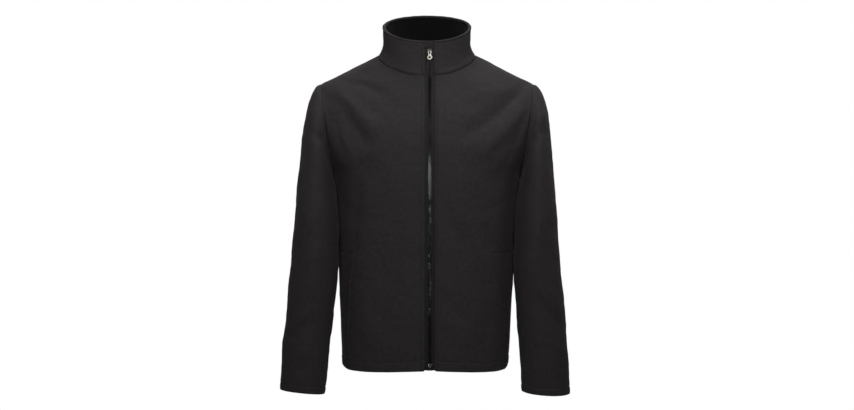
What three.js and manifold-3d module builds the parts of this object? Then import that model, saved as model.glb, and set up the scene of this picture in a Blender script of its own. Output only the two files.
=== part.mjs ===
// A softshell jacket, worn shape with no wearer: zip closed, stand collar up, sleeves hanging.
// Millimetres, +Z up, the front faces -Y and the wearer's left is at +X.
// The origin lies on the centre plane at the height of the shoulder's neck point.
import * as THREE from 'three';
import { mergeVertices } from 'three/addons/utils/BufferGeometryUtils.js';
import Module from 'manifold-3d';

const wasm = await Module();
wasm.setup();

// Driving sizes
const HEM_Z = -710;
const UNDERARM_Z = -270;
const SHOULDER_TIP_Z = -60;
const NECK_FRONT_Z = -47;
const CLOTH = 1.8;
const TURNED_HEM = 3;
const HEM_DEPTH = 22;
const CUFF_DEPTH = 17;
// The hem rises at the side seams and dips between them and the zip, over shares of each row.
const HEM_RISE = { height: 8, share: 0.3, dip: 4, dipTo: 0.85, fade: 90 };
// The cuff's edge is not level: how much higher its inner, outer and front points lie.
const CUFF_LEVEL = {
  L: { inner: 9, outer: -2, front: -5 },
  R: { inner: 1.5, outer: 7, front: 0 },
  from: 0.86,
};
const SEAM_GAP = 0.4;
const LAYER_GAP = 0.3;

// Zip
const ZIP_X = 6.2;
const ZIP_MOUTH = 22;
const TAPE_WIDTH = 11.6;
const TAPE = 1;
const TAPE_DEPTH = 3.3;
const CHAIN_WIDTH = 7;
const CHAIN = 2.8;
const CHAIN_DEPTH = TAPE_DEPTH - LAYER_GAP - CHAIN;
const ZIP_BOTTOM_Z = -708;
const ZIP_TOP_Z = 29;
const BOX = { width: 12, height: 15, thick: 4 };
const SLIDER = { z: 8, height: 14, halfTop: 5.8, halfBottom: 4.6, plate: 2, flange: 1 };
const BRIDGE = { width: 2.4, leg: 4.6, inside: 2.5, rise: 2.6, thick: 1.2 };
// How far the slider's own pieces reach into each other.
const SUNK = 0.2;
// Heights on the pull tab are measured from its pivot.
const PULLER = {
  bar: 0.8,
  arm: 3.6,
  armEnd: -6.8,
  window: 1.9,
  windowEnd: -6,
  waist: 2.6,
  waistZ: -8.7,
  eyeZ: -14,
  eye: 5.6,
  hole: 2.7,
};
const GARAGE = { fromX: -9, toX: 13.5, fromZ: 16.6, toZ: 33, thick: 2, round: 5 };

// The centre front and centre back lines, from the hem to the neck seam.
const CENTRE_FRONT = [
  { z: -710, y: -116 },
  { z: -620, y: -121 },
  { z: -500, y: -125 },
  { z: -380, y: -132 },
  { z: -270, y: -138 },
  { z: -190, y: -134 },
  { z: -125, y: -118 },
  { z: -80, y: -99.5 },
  { z: -47, y: -86 },
];
const CENTRE_BACK = [
  { z: -710, y: 113 },
  { z: -600, y: 110 },
  { z: -480, y: 108 },
  { z: -360, y: 119 },
  { z: -270, y: 131 },
  { z: -190, y: 138 },
  { z: -120, y: 134 },
  { z: -60, y: 117 },
  { z: -15, y: 96 },
  { z: 17, y: 80 },
];

// Half widths at the side seams, on the wearer's right (-X) and left (+X).
const SIDE_SEAM = [
  { z: -710, right: 195, left: 187 },
  { z: -650, right: 196.5, left: 190 },
  { z: -560, right: 200, left: 194.5 },
  { z: -480, right: 202.5, left: 199 },
  { z: -400, right: 203.5, left: 202 },
  { z: -340, right: 205, left: 205 },
  { z: -270, right: 212, left: 212 },
];

// The armhole is an ellipse in the plane through the shoulder tip and the underarm.
const ARMHOLE = { underarmX: 212, tipX: 243, midY: 3, halfDepth: 80 };

// Neck seam: half width, and the front, side and back points of its loop.
const NECK = { half: 112, sideY: 5, frontY: -86, backY: 80, frontZ: NECK_FRONT_Z, sideZ: 3, backZ: 17 };
// The collar's top edge.
const RIM = { half: 101, sideY: 3, frontY: -72, backY: 77, frontZ: 33, sideZ: 73, backZ: 106 };
const COLLAR_FLARE = 0.45;

// Rows of a front, from hem to shoulder: where a row leaves the centre and where it meets the side.
// neck is the angle round the neck loop, and arm the angle round the armhole, both in degrees.
const FRONT_ROWS = [
  { v: 0, z: -710, neck: 0, arm: 180 },
  { v: 0.6, z: -270, neck: 0, arm: 180 },
  { v: 0.86, z: NECK_FRONT_Z, neck: 0, arm: 62 },
  { v: 1, z: NECK_FRONT_Z, neck: 90, arm: 0 },
];
const BACK_ROWS = [
  { v: 0, z: -710, neck: 0, arm: 180 },
  { v: 0.6, z: -270, neck: 0, arm: 180 },
  { v: 0.9, z: 17, neck: 0, arm: 46 },
  { v: 1, z: 17, neck: 90, arm: 0 },
];
const UNDERARM_V = 0.6;

// How a row leaves the centre line or the neck: direction and handle length.
const LEAVE_CENTRE = [
  { v: 0, x: 1, y: 0, z: 0, reach: 122 },
  { v: 0.6, x: 1, y: 0, z: 0, reach: 128 },
  { v: 0.86, x: 0.99, y: 0.05, z: -0.12, reach: 84 },
  { v: 0.93, x: 0.95, y: 0.08, z: -0.3, reach: 62 },
  { v: 1, x: 0.9, y: 0, z: -0.43, reach: 45 },
];
// How a row reaches the armhole, by the angle round it; y is towards the side seam.
const REACH_ARMHOLE = [
  { arm: 0, x: 0.9, y: 0, z: -0.44, reach: 46 },
  { arm: 30, x: 0.9, y: 0.12, z: -0.38, reach: 48 },
  { arm: 60, x: 0.93, y: 0.3, z: -0.2, reach: 52 },
  { arm: 90, x: 0.85, y: 0.52, z: -0.05, reach: 58 },
  { arm: 120, x: 0.62, y: 0.78, z: 0, reach: 66 },
  { arm: 150, x: 0.28, y: 0.96, z: 0, reach: 74 },
  { arm: 180, x: 0, y: 1, z: 0, reach: 80 },
];
const SIDE_REACH = 0.6;

// The slanted pocket mouth on each front, and the seam that tops the side piece behind it.
const POCKET_LINE = [
  { z: -710, right: 180, left: 178 },
  { z: -610, right: 181, left: 181 },
  { z: -575, right: 180, left: 180 },
  { z: -550, right: 178.5, left: 172 },
  { z: -520, right: 177, left: 160 },
  { z: -483, right: 173, left: 151 },
  { z: -445, right: 168, left: 145 },
];
const SIDE_PIECE_TOP_Z = -445;
const MOUTH_STEP = 1.2;

// Sections of a sleeve. Each is an ellipse through an inner and an outer point.
const SLEEVE = [
  { t: 0, inZ: -270, outZ: -60, inL: 212, outL: 243, inR: 212, outR: 243, midY: 3, half: 80 },
  { t: 0.05, inZ: -275, outZ: -66, inL: 212.9, outL: 254, inR: 212.9, outR: 253.4, midY: 0, half: 83 },
  { t: 0.11, inZ: -281, outZ: -86, inL: 212.5, outL: 266.6, inR: 212.5, outR: 264.8, midY: -6, half: 86 },
  { t: 0.19, inZ: -289, outZ: -124, inL: 211, outL: 275.8, inR: 210.8, outR: 274.8, midY: -15, half: 88 },
  { t: 0.27, inZ: -301, outZ: -182, inL: 208.8, outL: 282.2, inR: 208.4, outR: 284, midY: -23, half: 87 },
  { t: 0.36, inZ: -325, outZ: -264, inL: 204.9, outL: 287.9, inR: 204.6, outR: 292.3, midY: -32, half: 83 },
  { t: 0.46, inZ: -375, outZ: -345, inL: 200.2, outL: 294.2, inR: 200.8, outR: 299.6, midY: -38, half: 77 },
  { t: 0.57, inZ: -450, outZ: -438, inL: 197.6, outL: 301.1, inR: 199.8, outR: 307.5, midY: -42, half: 69 },
  { t: 0.67, inZ: -520, outZ: -516, inL: 198.2, outL: 307.5, inR: 204.6, outR: 314.3, midY: -44, half: 62 },
  { t: 0.79, inZ: -605, outZ: -603, inL: 205.2, outL: 315.4, inR: 214.8, outR: 322.6, midY: -45, half: 54 },
  { t: 0.91, inZ: -700, outZ: -699, inL: 211.6, outL: 321.9, inR: 224.8, outR: 331.1, midY: -46, half: 46 },
  { t: 1, inZ: -769, outZ: -764, inL: 215, outL: 325, inR: 231.8, outR: 333.8, midY: -47, half: 41 },
];

// The largest soft folds. Each is a line in the front view, with its half width and its height out of
// the cloth, below zero for a trough.
const FRONT_FOLDS = [
  { x0: -203, z0: -74, x1: -102, z1: -175, width: 17, height: 5 },
  { x0: -184, z0: -56, x1: -83, z1: -90, width: 13, height: -3.5 },
  { x0: -184, z0: -118, x1: -128, z1: -205, width: 15, height: -4.5 },
  { x0: 218, z0: -74, x1: 92, z1: -181, width: 15, height: -4.5 },
  { x0: 226, z0: -112, x1: 124, z1: -219, width: 17, height: 4.5 },
  { x0: -150, z0: -290, x1: -160, z1: -390, width: 15, height: -4 },
  { x0: 134, z0: -380, x1: 150, z1: -445, width: 12, height: -5 },
  { x0: -156, z0: -370, x1: -164, z1: -445, width: 12, height: -4 },
  { x0: 36, z0: -331, x1: 105, z1: -463, width: 20, height: -3.5 },
  { x0: 105, z0: -463, x1: 170, z1: -622, width: 20, height: -3.5 },
  { x0: -60, z0: -430, x1: -120, z1: -620, width: 22, height: -3 },
];
const BACK_FOLDS = [
  { x0: -190, z0: -110, x1: -70, z1: -190, width: 18, height: -4.5 },
  { x0: 190, z0: -110, x1: 75, z1: -200, width: 18, height: -4.5 },
  { x0: -200, z0: -290, x1: -80, z1: -400, width: 20, height: -4.5 },
  { x0: 195, z0: -300, x1: 70, z1: -420, width: 20, height: -4.5 },
  { x0: -30, z0: -440, x1: -50, z1: -640, width: 24, height: -3.5 },
  { x0: 90, z0: -470, x1: 120, z1: -640, width: 22, height: -3 },
];
const LEFT_ARM_FOLDS = [
  { x0: 229, z0: -197, x1: 264, z1: -160, width: 13, height: -5 },
  { x0: 291, z0: -297, x1: 278, z1: -377, width: 12, height: 3.5 },
  { x0: 262, z0: -330, x1: 238, z1: -510, width: 18, height: 4 },
  { x0: 246, z0: -545, x1: 300, z1: -610, width: 16, height: -4.5 },
];
const RIGHT_ARM_FOLDS = [
  { x0: 228, z0: -190, x1: 262, z1: -165, width: 13, height: -5 },
  { x0: 285, z0: -300, x1: 262, z1: -400, width: 15, height: 3.5 },
  { x0: 240, z0: -430, x1: 262, z1: -540, width: 18, height: 4 },
  { x0: 256, z0: -590, x1: 318, z1: -640, width: 16, height: -4.5 },
];

const OUTER_CLOTH = { color: 0x2c2a2b, roughness: 0.85, metalness: 0 };
const INNER_CLOTH = { color: 0x1d1b1c, roughness: 0.95, metalness: 0 };
const TAPE_FINISH = { color: 0x15171c, roughness: 0.8, metalness: 0 };
const TEETH_FINISH = { color: 0x14161b, roughness: 0.35, metalness: 0 };
const ENAMEL_FINISH = { color: 0x101114, roughness: 0.35, metalness: 0 };
const METAL_FINISH = { color: 0xb9babc, roughness: 0.3, metalness: 1 };

const radians = (degrees) => (degrees * Math.PI) / 180;
const mix = (a, b, t) => a + (b - a) * t;
const smooth = (t) => {
  const k = Math.min(1, Math.max(0, t));
  return k * k * (3 - 2 * k);
};

// A value from a table's column, along a smooth curve through its rows.
function along(table, key, column, at) {
  const last = table.length - 1;
  const rising = table[last][key] > table[0][key];
  let i = 0;
  while (i < last - 1 && (rising ? at > table[i + 1][key] : at < table[i + 1][key])) i += 1;
  const a = table[i];
  const b = table[i + 1];
  const before = table[Math.max(i - 1, 0)];
  const after = table[Math.min(i + 2, last)];
  const step = b[key] - a[key];
  const t = Math.min(1, Math.max(0, (at - a[key]) / step));
  const rise = (low, high) => (high[column] - low[column]) / (high[key] - low[key]);
  const t2 = t * t;
  const t3 = t2 * t;
  return (
    (2 * t3 - 3 * t2 + 1) * a[column] +
    (t3 - 2 * t2 + t) * step * rise(before, b) +
    (3 * t2 - 2 * t3) * b[column] +
    (t3 - t2) * step * rise(a, after)
  );
}

function straight(table, key, column, at) {
  let i = 0;
  while (i < table.length - 2 && at > table[i + 1][key]) i += 1;
  const t = (at - table[i][key]) / (table[i + 1][key] - table[i][key]);
  return mix(table[i][column], table[i + 1][column], Math.min(1, Math.max(0, t)));
}

// A direction and a handle length from a table.
function handle(table, key, at) {
  const toward = new THREE.Vector3(
    straight(table, key, 'x', at),
    straight(table, key, 'y', at),
    straight(table, key, 'z', at),
  );
  return toward.normalize().multiplyScalar(straight(table, key, 'reach', at));
}

// How folds fade: past their ends, near a seam, and on the hidden inner side of an arm.
const FADE = { pastEnd: 0.2, over: 0.45, sideSeam: 0.14, shoulder: 0.1, armhole: 0.12, cuff: 0.08 };
const INNER_ARM = { from: 0.72, over: 0.2 };

// How far a point lies out of the smooth cloth, for the folds that pass near it.
function foldHeight(folds, x, z) {
  let height = 0;
  for (const fold of folds) {
    const dx = fold.x1 - fold.x0;
    const dz = fold.z1 - fold.z0;
    const t = ((x - fold.x0) * dx + (z - fold.z0) * dz) / (dx * dx + dz * dz);
    const off = Math.hypot(x - fold.x0 - t * dx, z - fold.z0 - t * dz);
    const fade = smooth((t + FADE.pastEnd) / FADE.over) * smooth((1 + FADE.pastEnd - t) / FADE.over);
    height += fold.height * fade * Math.exp(-((off / fold.width) ** 2));
  }
  return height;
}

// A point on the neck seam or the collar's top edge: 0 at the centre front, 180 at the centre back.
function loopPoint(loop, degrees) {
  const c = Math.cos(radians(degrees));
  const through = (front, side, back) =>
    side + ((front - back) / 2) * c + ((front + back) / 2 - side) * c * c;
  return new THREE.Vector3(
    loop.half * Math.sin(radians(degrees)),
    through(loop.frontY, loop.sideY, loop.backY),
    through(loop.frontZ, loop.sideZ, loop.backZ),
  );
}

// A point on the armhole of one side: 0 at the shoulder tip, 180 at the underarm, 90 at the front.
function armholePoint(side, degrees, out) {
  const up = (1 + Math.cos(radians(degrees))) / 2;
  return new THREE.Vector3(
    side * (mix(ARMHOLE.underarmX, ARMHOLE.tipX, up) + out),
    ARMHOLE.midY - ARMHOLE.halfDepth * Math.sin(radians(degrees)),
    mix(UNDERARM_Z, SHOULDER_TIP_Z, up),
  );
}

// Where a front ends at the zip's mouth: its distance from the centre plane and its angle at the neck.
const zipEdge = (side) => ZIP_MOUTH / 2 + side * ZIP_X;
const zipEdgeAngle = (side) => (Math.asin(zipEdge(side) / NECK.half) * 180) / Math.PI;

const sideKey = (side) => (side < 0 ? 'right' : 'left');

// The inner end of a row: on the zip's edge or the centre back, and higher up on the neck seam.
function rowStart(face, side, v) {
  const rows = face < 0 ? FRONT_ROWS : BACK_ROWS;
  const turn = straight(rows, 'v', 'neck', v) / 90;
  const first = face < 0 ? zipEdgeAngle(side) : 180;
  const onNeck = loopPoint(NECK, mix(first, 90, turn));
  onNeck.x *= side;
  onNeck.z -= SEAM_GAP / 2;
  onNeck.y += (face * turn * SEAM_GAP) / 2;
  if (turn > 0) return onNeck;
  const z = straight(rows, 'v', 'z', v);
  const line = face < 0 ? CENTRE_FRONT : CENTRE_BACK;
  const start = new THREE.Vector3(face < 0 ? side * zipEdge(side) : 0, along(line, 'z', 'y', z), z);
  const near = smooth((z - UNDERARM_Z) / (NECK_FRONT_Z - UNDERARM_Z));
  start.y += near * (onNeck.y - line.at(-1).y);
  start.z += near * (onNeck.z - line.at(-1).z);
  return start;
}

// The smooth body: face is -1 for the front and 1 for the back, u runs from the centre to the side.
function bodyRow(face, side, v) {
  const rows = face < 0 ? FRONT_ROWS : BACK_ROWS;
  const arm = straight(rows, 'v', 'arm', v);
  const start = rowStart(face, side, v);
  const leave = handle(LEAVE_CENTRE, 'v', v);
  leave.x *= side;
  leave.y *= -face;
  if (v < UNDERARM_V) {
    const half = along(SIDE_SEAM, 'z', sideKey(side), start.z);
    const end = new THREE.Vector3(side * half, ARMHOLE.midY + (face * SEAM_GAP) / 2, start.z);
    const reach = new THREE.Vector3(0, -face * SIDE_REACH * Math.abs(start.y), 0);
    return [start, leave, end, reach];
  }
  const end = armholePoint(side, -face * arm, -SEAM_GAP / 2);
  end.y += (face * SEAM_GAP) / 2;
  const reach = handle(REACH_ARMHOLE, 'arm', arm);
  reach.x *= side;
  reach.y *= -face;
  return [start, leave, end, reach];
}

function bodyPoint(face, side, u, v) {
  const [start, leave, end, reach] = bodyRow(face, side, v);
  const row = new THREE.CubicBezierCurve3(start, start.clone().add(leave), end.clone().sub(reach), end);
  const p = row.getPoint(u);
  const atSide = smooth((u - 1 + HEM_RISE.share) / HEM_RISE.share);
  const dip = HEM_RISE.dip * Math.sin(Math.PI * Math.min(u / HEM_RISE.dipTo, 1));
  p.z += (HEM_RISE.height * atSide - dip) * smooth(1 - (p.z - HEM_Z) / HEM_RISE.fade);
  return p;
}

// The normal of a surface, from the points just beside one.
const BESIDE = 2e-3;
function normalOf(surface, u, v) {
  const lowU = Math.max(u - BESIDE, surface.fromU);
  const highU = Math.min(u + BESIDE, surface.toU);
  const lowV = Math.max(v - BESIDE, surface.fromV);
  const highV = Math.min(v + BESIDE, surface.toV);
  const du = surface.point(highU, v).sub(surface.point(lowU, v));
  const dv = surface.point(u, highV).sub(surface.point(u, lowV));
  return du.cross(dv).normalize();
}

// Half of the body with its folds. u runs from -1 at the right side to 0, or from 0 to 1 at the left.
function bodySurface(face, side) {
  const bareHalf = (one) => ({
    fromU: Math.min(side, 0),
    toU: Math.max(side, 0),
    fromV: 0,
    toV: 1,
    point: (u, v) => bodyPoint(one, side, Math.abs(u), v),
  });
  const bare = bareHalf(face);
  const other = bareHalf(-face);
  const folds = face < 0 ? FRONT_FOLDS : BACK_FOLDS;
  // Front and back share one normal along the shoulder seam.
  const outward = (u, v) => {
    const own = normalOf(bare, u, v).multiplyScalar(-face);
    return v < 1 ? own : own.addScaledVector(normalOf(other, u, v), face).normalize();
  };
  const point = (u, v) => {
    const p = bare.point(u, v);
    const edge = smooth((1 - Math.abs(u)) / FADE.sideSeam) * smooth((1 - v) / FADE.shoulder);
    return p.addScaledVector(outward(u, v), edge * foldHeight(folds, p.x, p.z));
  };
  return { point, outward };
}

// The sleeve of one side: u runs once round it, v from the armhole to the cuff.
function sleeveSurface(side) {
  const key = side > 0 ? 'L' : 'R';
  const folds = side > 0 ? LEFT_ARM_FOLDS : RIGHT_ARM_FOLDS;
  const bare = {
    fromU: -Infinity,
    toU: Infinity,
    fromV: 0,
    toV: 1,
    point: (u, v) => {
      const value = (column) => along(SLEEVE, 't', column, v);
      const up = (1 + Math.cos(2 * Math.PI * u)) / 2;
      const front = Math.sin(2 * Math.PI * u);
      const level = CUFF_LEVEL[key];
      const tilt = mix(level.inner, level.outer, up) + level.front * Math.max(front, 0);
      return new THREE.Vector3(
        side * (mix(value('in' + key), value('out' + key), up) + SEAM_GAP / 2),
        value('midY') - value('half') * front,
        mix(value('inZ'), value('outZ'), up) + tilt * smooth((v - CUFF_LEVEL.from) / (1 - CUFF_LEVEL.from)),
      );
    },
  };
  const outward = (u, v) => normalOf(bare, u, v).multiplyScalar(side);
  const point = (u, v) => {
    const p = bare.point(u, v);
    const fromTop = Math.abs(((u + 0.5) % 1) - 0.5) * 2;
    const outerSide = 1 - smooth((fromTop - INNER_ARM.from) / INNER_ARM.over);
    const ends = smooth(v / FADE.armhole) * smooth((1 - v) / FADE.cuff) * outerSide;
    return p.addScaledVector(outward(u, v), ends * foldHeight(folds, Math.abs(p.x), p.z));
  };
  return { point, outward };
}

// The collar, out from its inner face: u is the angle round the neck in degrees, v from seam to top.
function collarPoint(u, v) {
  const seam = loopPoint(NECK, u);
  const top = loopPoint(RIM, u);
  const atSide = Math.sin(radians(u)) ** 2;
  const quick = 1 - (1 - Math.min(1, v / COLLAR_FLARE)) ** 2;
  const inward = mix(v, quick, atSide);
  return new THREE.Vector3(
    mix(seam.x, top.x, inward),
    mix(seam.y, top.y, inward),
    mix(seam.z + SEAM_GAP / 2, top.z, v),
  );
}
const COLLAR = {
  point: collarPoint,
  outward: (u, v) => {
    const around = collarPoint(u + 0.2, v).sub(collarPoint(u - 0.2, v));
    const up = collarPoint(u, Math.min(v + 1e-3, 1)).sub(collarPoint(u, Math.max(v - 1e-3, 0)));
    return around.cross(up).normalize();
  },
};

// A grid of columns and rows on a surface, as points, outward normals and faces.
function grid(surface, columns, rows, { round = false, keep = () => true, out = () => 0 } = {}) {
  const points = [];
  const normals = [];
  rows.forEach((v, j) =>
    columns.forEach((column, i) => {
      const u = typeof column === 'function' ? column(v) : column;
      const normal = surface.outward(u, v);
      points.push(surface.point(u, v).addScaledVector(normal, out(u, v, i, j)));
      normals.push(normal);
    }),
  );
  const across = columns.length;
  const faces = [];
  for (let j = 0; j + 1 < rows.length; j += 1) {
    for (let i = 0; i + (round ? 0 : 1) < across; i += 1) {
      if (!keep(i, j)) continue;
      const next = (i + 1) % across;
      faces.push([j * across + i, j * across + next, (j + 1) * across + next, (j + 1) * across + i]);
    }
  }
  return { points, normals, faces };
}

// Two grids as one, for pieces that are drawn in halves.
function joined(a, b) {
  const count = a.points.length;
  return {
    points: [...a.points, ...b.points],
    normals: [...a.normals, ...b.normals],
    faces: [...a.faces, ...b.faces.map((face) => face.map((i) => i + count))],
  };
}

// Points of a grid that lie in one place become one point.
function welded({ points, normals, faces }) {
  const seen = new Map();
  const kept = points.map((p, i) => {
    const place = [p.x, p.y, p.z].map((value) => Math.round(value * 1e3)).join(' ');
    if (!seen.has(place)) seen.set(place, i);
    return seen.get(place);
  });
  return { points, normals, faces: faces.map((face) => face.map((i) => kept[i])) };
}

// A cloth wall: the outer faces, the inner faces one thickness in, and the edges between them.
function wall(cells, thickness) {
  const { points, normals, faces } = welded(cells);
  const [p0, p1, , p3] = faces[0].map((i) => points[i]);
  const facing = p1.clone().sub(p0).cross(p3.clone().sub(p0)).dot(normals[faces[0][0]]);
  const outer = facing < 0 ? faces.map((face) => [...face].reverse()) : faces;
  const count = points.length;
  const triangles = [];
  const edges = new Set();
  for (const face of outer) {
    face.forEach((from, k) => edges.add(from + ' ' + face[(k + 1) % 4]));
  }
  for (const [a, b, c, d] of outer) {
    triangles.push([a, b, c], [a, c, d]);
    triangles.push([a + count, c + count, b + count], [a + count, d + count, c + count]);
  }
  for (const edge of edges) {
    const [from, to] = edge.split(' ').map(Number);
    if (edges.has(to + ' ' + from)) continue;
    triangles.push([to, from, from + count], [to, from + count, to + count]);
  }
  const inner = points.map((p, i) => p.clone().addScaledVector(normals[i], -thickness(p, i)));
  const all = [...points, ...inner];
  const used = new Map();
  const positions = [];
  const index = triangles.flat().map((i) => {
    if (!used.has(i)) {
      used.set(i, used.size);
      positions.push(all[i].x, all[i].y, all[i].z);
    }
    return used.get(i);
  });
  const geometry = new THREE.BufferGeometry();
  geometry.setAttribute('position', new THREE.Float32BufferAttribute(positions, 3));
  geometry.setIndex(index);
  geometry.computeVertexNormals();
  return geometry;
}

const evenly = (from, to, steps) => Array.from({ length: steps + 1 }, (_, i) => mix(from, to, i / steps));

function piece(name, geometry, finish) {
  const mesh = new THREE.Mesh(geometry, new THREE.MeshStandardMaterial(finish));
  mesh.name = name;
  return mesh;
}

// Rows up the body: the hem's turning, the straight body, the armhole's height and the shoulder.
const hemRow = (UNDERARM_V * HEM_DEPTH) / (UNDERARM_Z - HEM_Z);
const sidePieceRow = (UNDERARM_V * (SIDE_PIECE_TOP_Z - HEM_Z)) / (UNDERARM_Z - HEM_Z);
const rowGap = (UNDERARM_V * SEAM_GAP) / (UNDERARM_Z - HEM_Z);
const lowRows = [0, hemRow, ...evenly(hemRow, sidePieceRow, 7).slice(1)];
const midRows = [
  ...evenly(sidePieceRow + rowGap, UNDERARM_V, 6),
  ...evenly(UNDERARM_V, FRONT_ROWS[2].v, 8).slice(1),
];
const NECK_STEPS = 6;
const frontRows = [...lowRows, ...midRows, ...evenly(FRONT_ROWS[2].v, 1, NECK_STEPS).slice(1)];
const backRows = [
  0,
  ...evenly(hemRow, UNDERARM_V, 12),
  ...evenly(UNDERARM_V, BACK_ROWS[2].v, 8).slice(1),
  ...evenly(BACK_ROWS[2].v, 1, NECK_STEPS).slice(1),
];
// A panel's first two rows of points are its hem, which is turned up except beside the zip.
const bodyThickness = (columns, rows) => (p, i) => {
  const inHem = i % (columns * rows) < 2 * columns;
  return inHem && Math.abs(p.x - ZIP_X) > ZIP_MOUTH ? TURNED_HEM : CLOTH;
};

// The share of a front's row at which it reaches a given distance from the centre plane.
function shareAtX(side, v, x) {
  let low = 0;
  let high = 1;
  for (let step = 0; step < 24; step += 1) {
    const middle = (low + high) / 2;
    if (Math.abs(bodyPoint(-1, side, middle, v).x) < x) low = middle;
    else high = middle;
  }
  return low;
}

// The share of a row at the pocket mouth, moved by half a seam gap to either side.
function mouthShare(side, v, offset) {
  const z = mix(HEM_Z, UNDERARM_Z, v / UNDERARM_V);
  return shareAtX(side, v, along(POCKET_LINE, 'z', sideKey(side), z) + offset);
}

const INNER_COLUMNS = 8;
const OUTER_COLUMNS = 4;
const UNDERARM_SHARE = 0.78;
const SIDE_PIECE_COLUMNS = [0, 0.18, 0.45, 0.72, 1];
const BACK_COLUMNS = 10;

// A front runs from the zip to the side seam, and below the waist only to the pocket mouth.
function front(name, side) {
  const mouth = (v) => {
    const above = smooth((v - sidePieceRow) / (UNDERARM_V - sidePieceRow));
    return mix(mouthShare(side, Math.min(v, sidePieceRow), -SEAM_GAP / 2), UNDERARM_SHARE, above);
  };
  const columns = [
    ...evenly(0, 1, INNER_COLUMNS).map((t) => (v) => side * t * mouth(v)),
    ...evenly(0, 1, OUTER_COLUMNS).slice(1).map((t) => (v) => side * mix(mouth(v), 1, t)),
  ];
  const keep = (i, j) => i < INNER_COLUMNS || j >= lowRows.length;
  const cells = grid(bodySurface(-1, side), columns, frontRows, { keep });
  const thickness = bodyThickness(columns.length, frontRows.length);
  return piece(name, wall(cells, thickness), OUTER_CLOTH);
}

// The side piece closes the front behind the pocket mouth, a step deeper there.
function sidePiece(name, side) {
  const columns = SIDE_PIECE_COLUMNS.map(
    (t) => (v) => side * mix(mouthShare(side, v, SEAM_GAP / 2), 1, t),
  );
  const out = (u, v, i) => (v > hemRow && i === 0 ? -MOUTH_STEP : 0);
  const cells = grid(bodySurface(-1, side), columns, lowRows, { out });
  const thickness = bodyThickness(columns.length, lowRows.length);
  return piece(name, wall(cells, thickness), OUTER_CLOTH);
}

function backPanel() {
  const half = (side) => {
    const columns = evenly(Math.min(side, 0), Math.max(side, 0), BACK_COLUMNS);
    return grid(bodySurface(1, side), columns, backRows);
  };
  const thickness = bodyThickness(BACK_COLUMNS + 1, backRows.length);
  return piece('back_panel', wall(joined(half(-1), half(1)), thickness), OUTER_CLOTH);
}

// Rows down a sleeve are closer where its cap turns over the shoulder, and at the cuff's turning.
const CAP_ROWS = [0, 0.025, 0.05, 0.08, 0.11, 0.15];
const ARM_ROWS = [...evenly(0.19, 0.91, 16), 0.945];
const SLEEVE_COLUMNS = 26;

function sleeve(name, side) {
  const length = SLEEVE.at(-1).outZ - SLEEVE.at(-2).outZ;
  const cuffRow = 1 + (CUFF_DEPTH / length) * (1 - SLEEVE.at(-2).t);
  const rows = [...CAP_ROWS, ...ARM_ROWS, cuffRow, 1];
  const columns = evenly(0, 1, SLEEVE_COLUMNS).slice(0, -1);
  const cells = grid(sleeveSurface(side), columns, rows, { round: true });
  const turned = columns.length * (rows.length - 2);
  return piece(name, wall(cells, (p, i) => (i >= turned ? TURNED_HEM : CLOTH)), OUTER_CLOTH);
}

// The collar's columns stand on the rows of the fronts and the back that end at the neck seam.
const COLLAR_CORNERS = [zipEdgeAngle(1), 90, 180, 270, 360 - zipEdgeAngle(-1)];
const COLLAR_COLUMNS = COLLAR_CORNERS.slice(1).flatMap((to, k) =>
  evenly(COLLAR_CORNERS[k], to, NECK_STEPS).slice(k ? 1 : 0),
);
const COLLAR_ROWS = [0.15, 0.3, 0.5, 0.75, 1];
const LINING_FOOT = 0.08;

function collar() {
  const cells = grid(COLLAR, COLLAR_COLUMNS, [0, ...COLLAR_ROWS]);
  return piece('collar', wall(cells, () => CLOTH), OUTER_CLOTH);
}

// The inner collar lies against the outer one and stops at the zip's tapes.
function collarLining() {
  const beside = (side) => Math.asin((TAPE_WIDTH + 2 + side * ZIP_X) / RIM.half) * (180 / Math.PI);
  const from = beside(1);
  const to = 360 - beside(-1);
  const columns = [from, ...COLLAR_COLUMNS.filter((angle) => angle > from + 1 && angle < to - 1), to];
  const out = () => -CLOTH - 2 * SEAM_GAP;
  const cells = grid(COLLAR, columns, [LINING_FOOT, ...COLLAR_ROWS], { out });
  return piece('collar_lining', wall(cells, () => CLOTH), INNER_CLOTH);
}

// The centre front line up to the collar's top edge, and the way out of the cloth from it.
function centreFront(z) {
  if (z <= NECK_FRONT_Z) return along(CENTRE_FRONT, 'z', 'y', z);
  return mix(NECK.frontY, RIM.frontY, (z - NECK_FRONT_Z) / (RIM.frontZ - NECK_FRONT_Z));
}
function outOfFront(z) {
  const slope = (centreFront(z + 1) - centreFront(z - 1)) / 2;
  return new THREE.Vector3(0, -1, slope).normalize();
}

// A flat strip that follows the centre front, a depth behind it, and bends where the fronts do.
function zipStrip(name, { fromX, toX, depth, thickness, fromZ, toZ, finish }) {
  const bends = frontRows.map((v) => straight(FRONT_ROWS, 'v', 'z', v));
  const between = [...new Set(bends)].filter((z) => z > fromZ + 1 && z < toZ - 1);
  const surface = {
    point: (x, z) => new THREE.Vector3(x, centreFront(z), z).addScaledVector(outOfFront(z), -depth),
    outward: (x, z) => outOfFront(z),
  };
  const cells = grid(surface, [fromX, toX], [fromZ, ...between, toZ]);
  return piece(name, wall(cells, () => thickness), finish);
}

// A plate with a drawn outline in X and Z, between two depths; -Y is out of the cloth.
function plate(outline, front, back) {
  const settings = { depth: back - front, bevelEnabled: false, curveSegments: 6 };
  const geometry = new THREE.ExtrudeGeometry(outline, settings);
  return geometry.rotateX(Math.PI / 2).translate(0, back, 0);
}

function shapeOf(points) {
  return new THREE.Shape(points.map(([x, y]) => new THREE.Vector2(x, y)));
}

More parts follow.
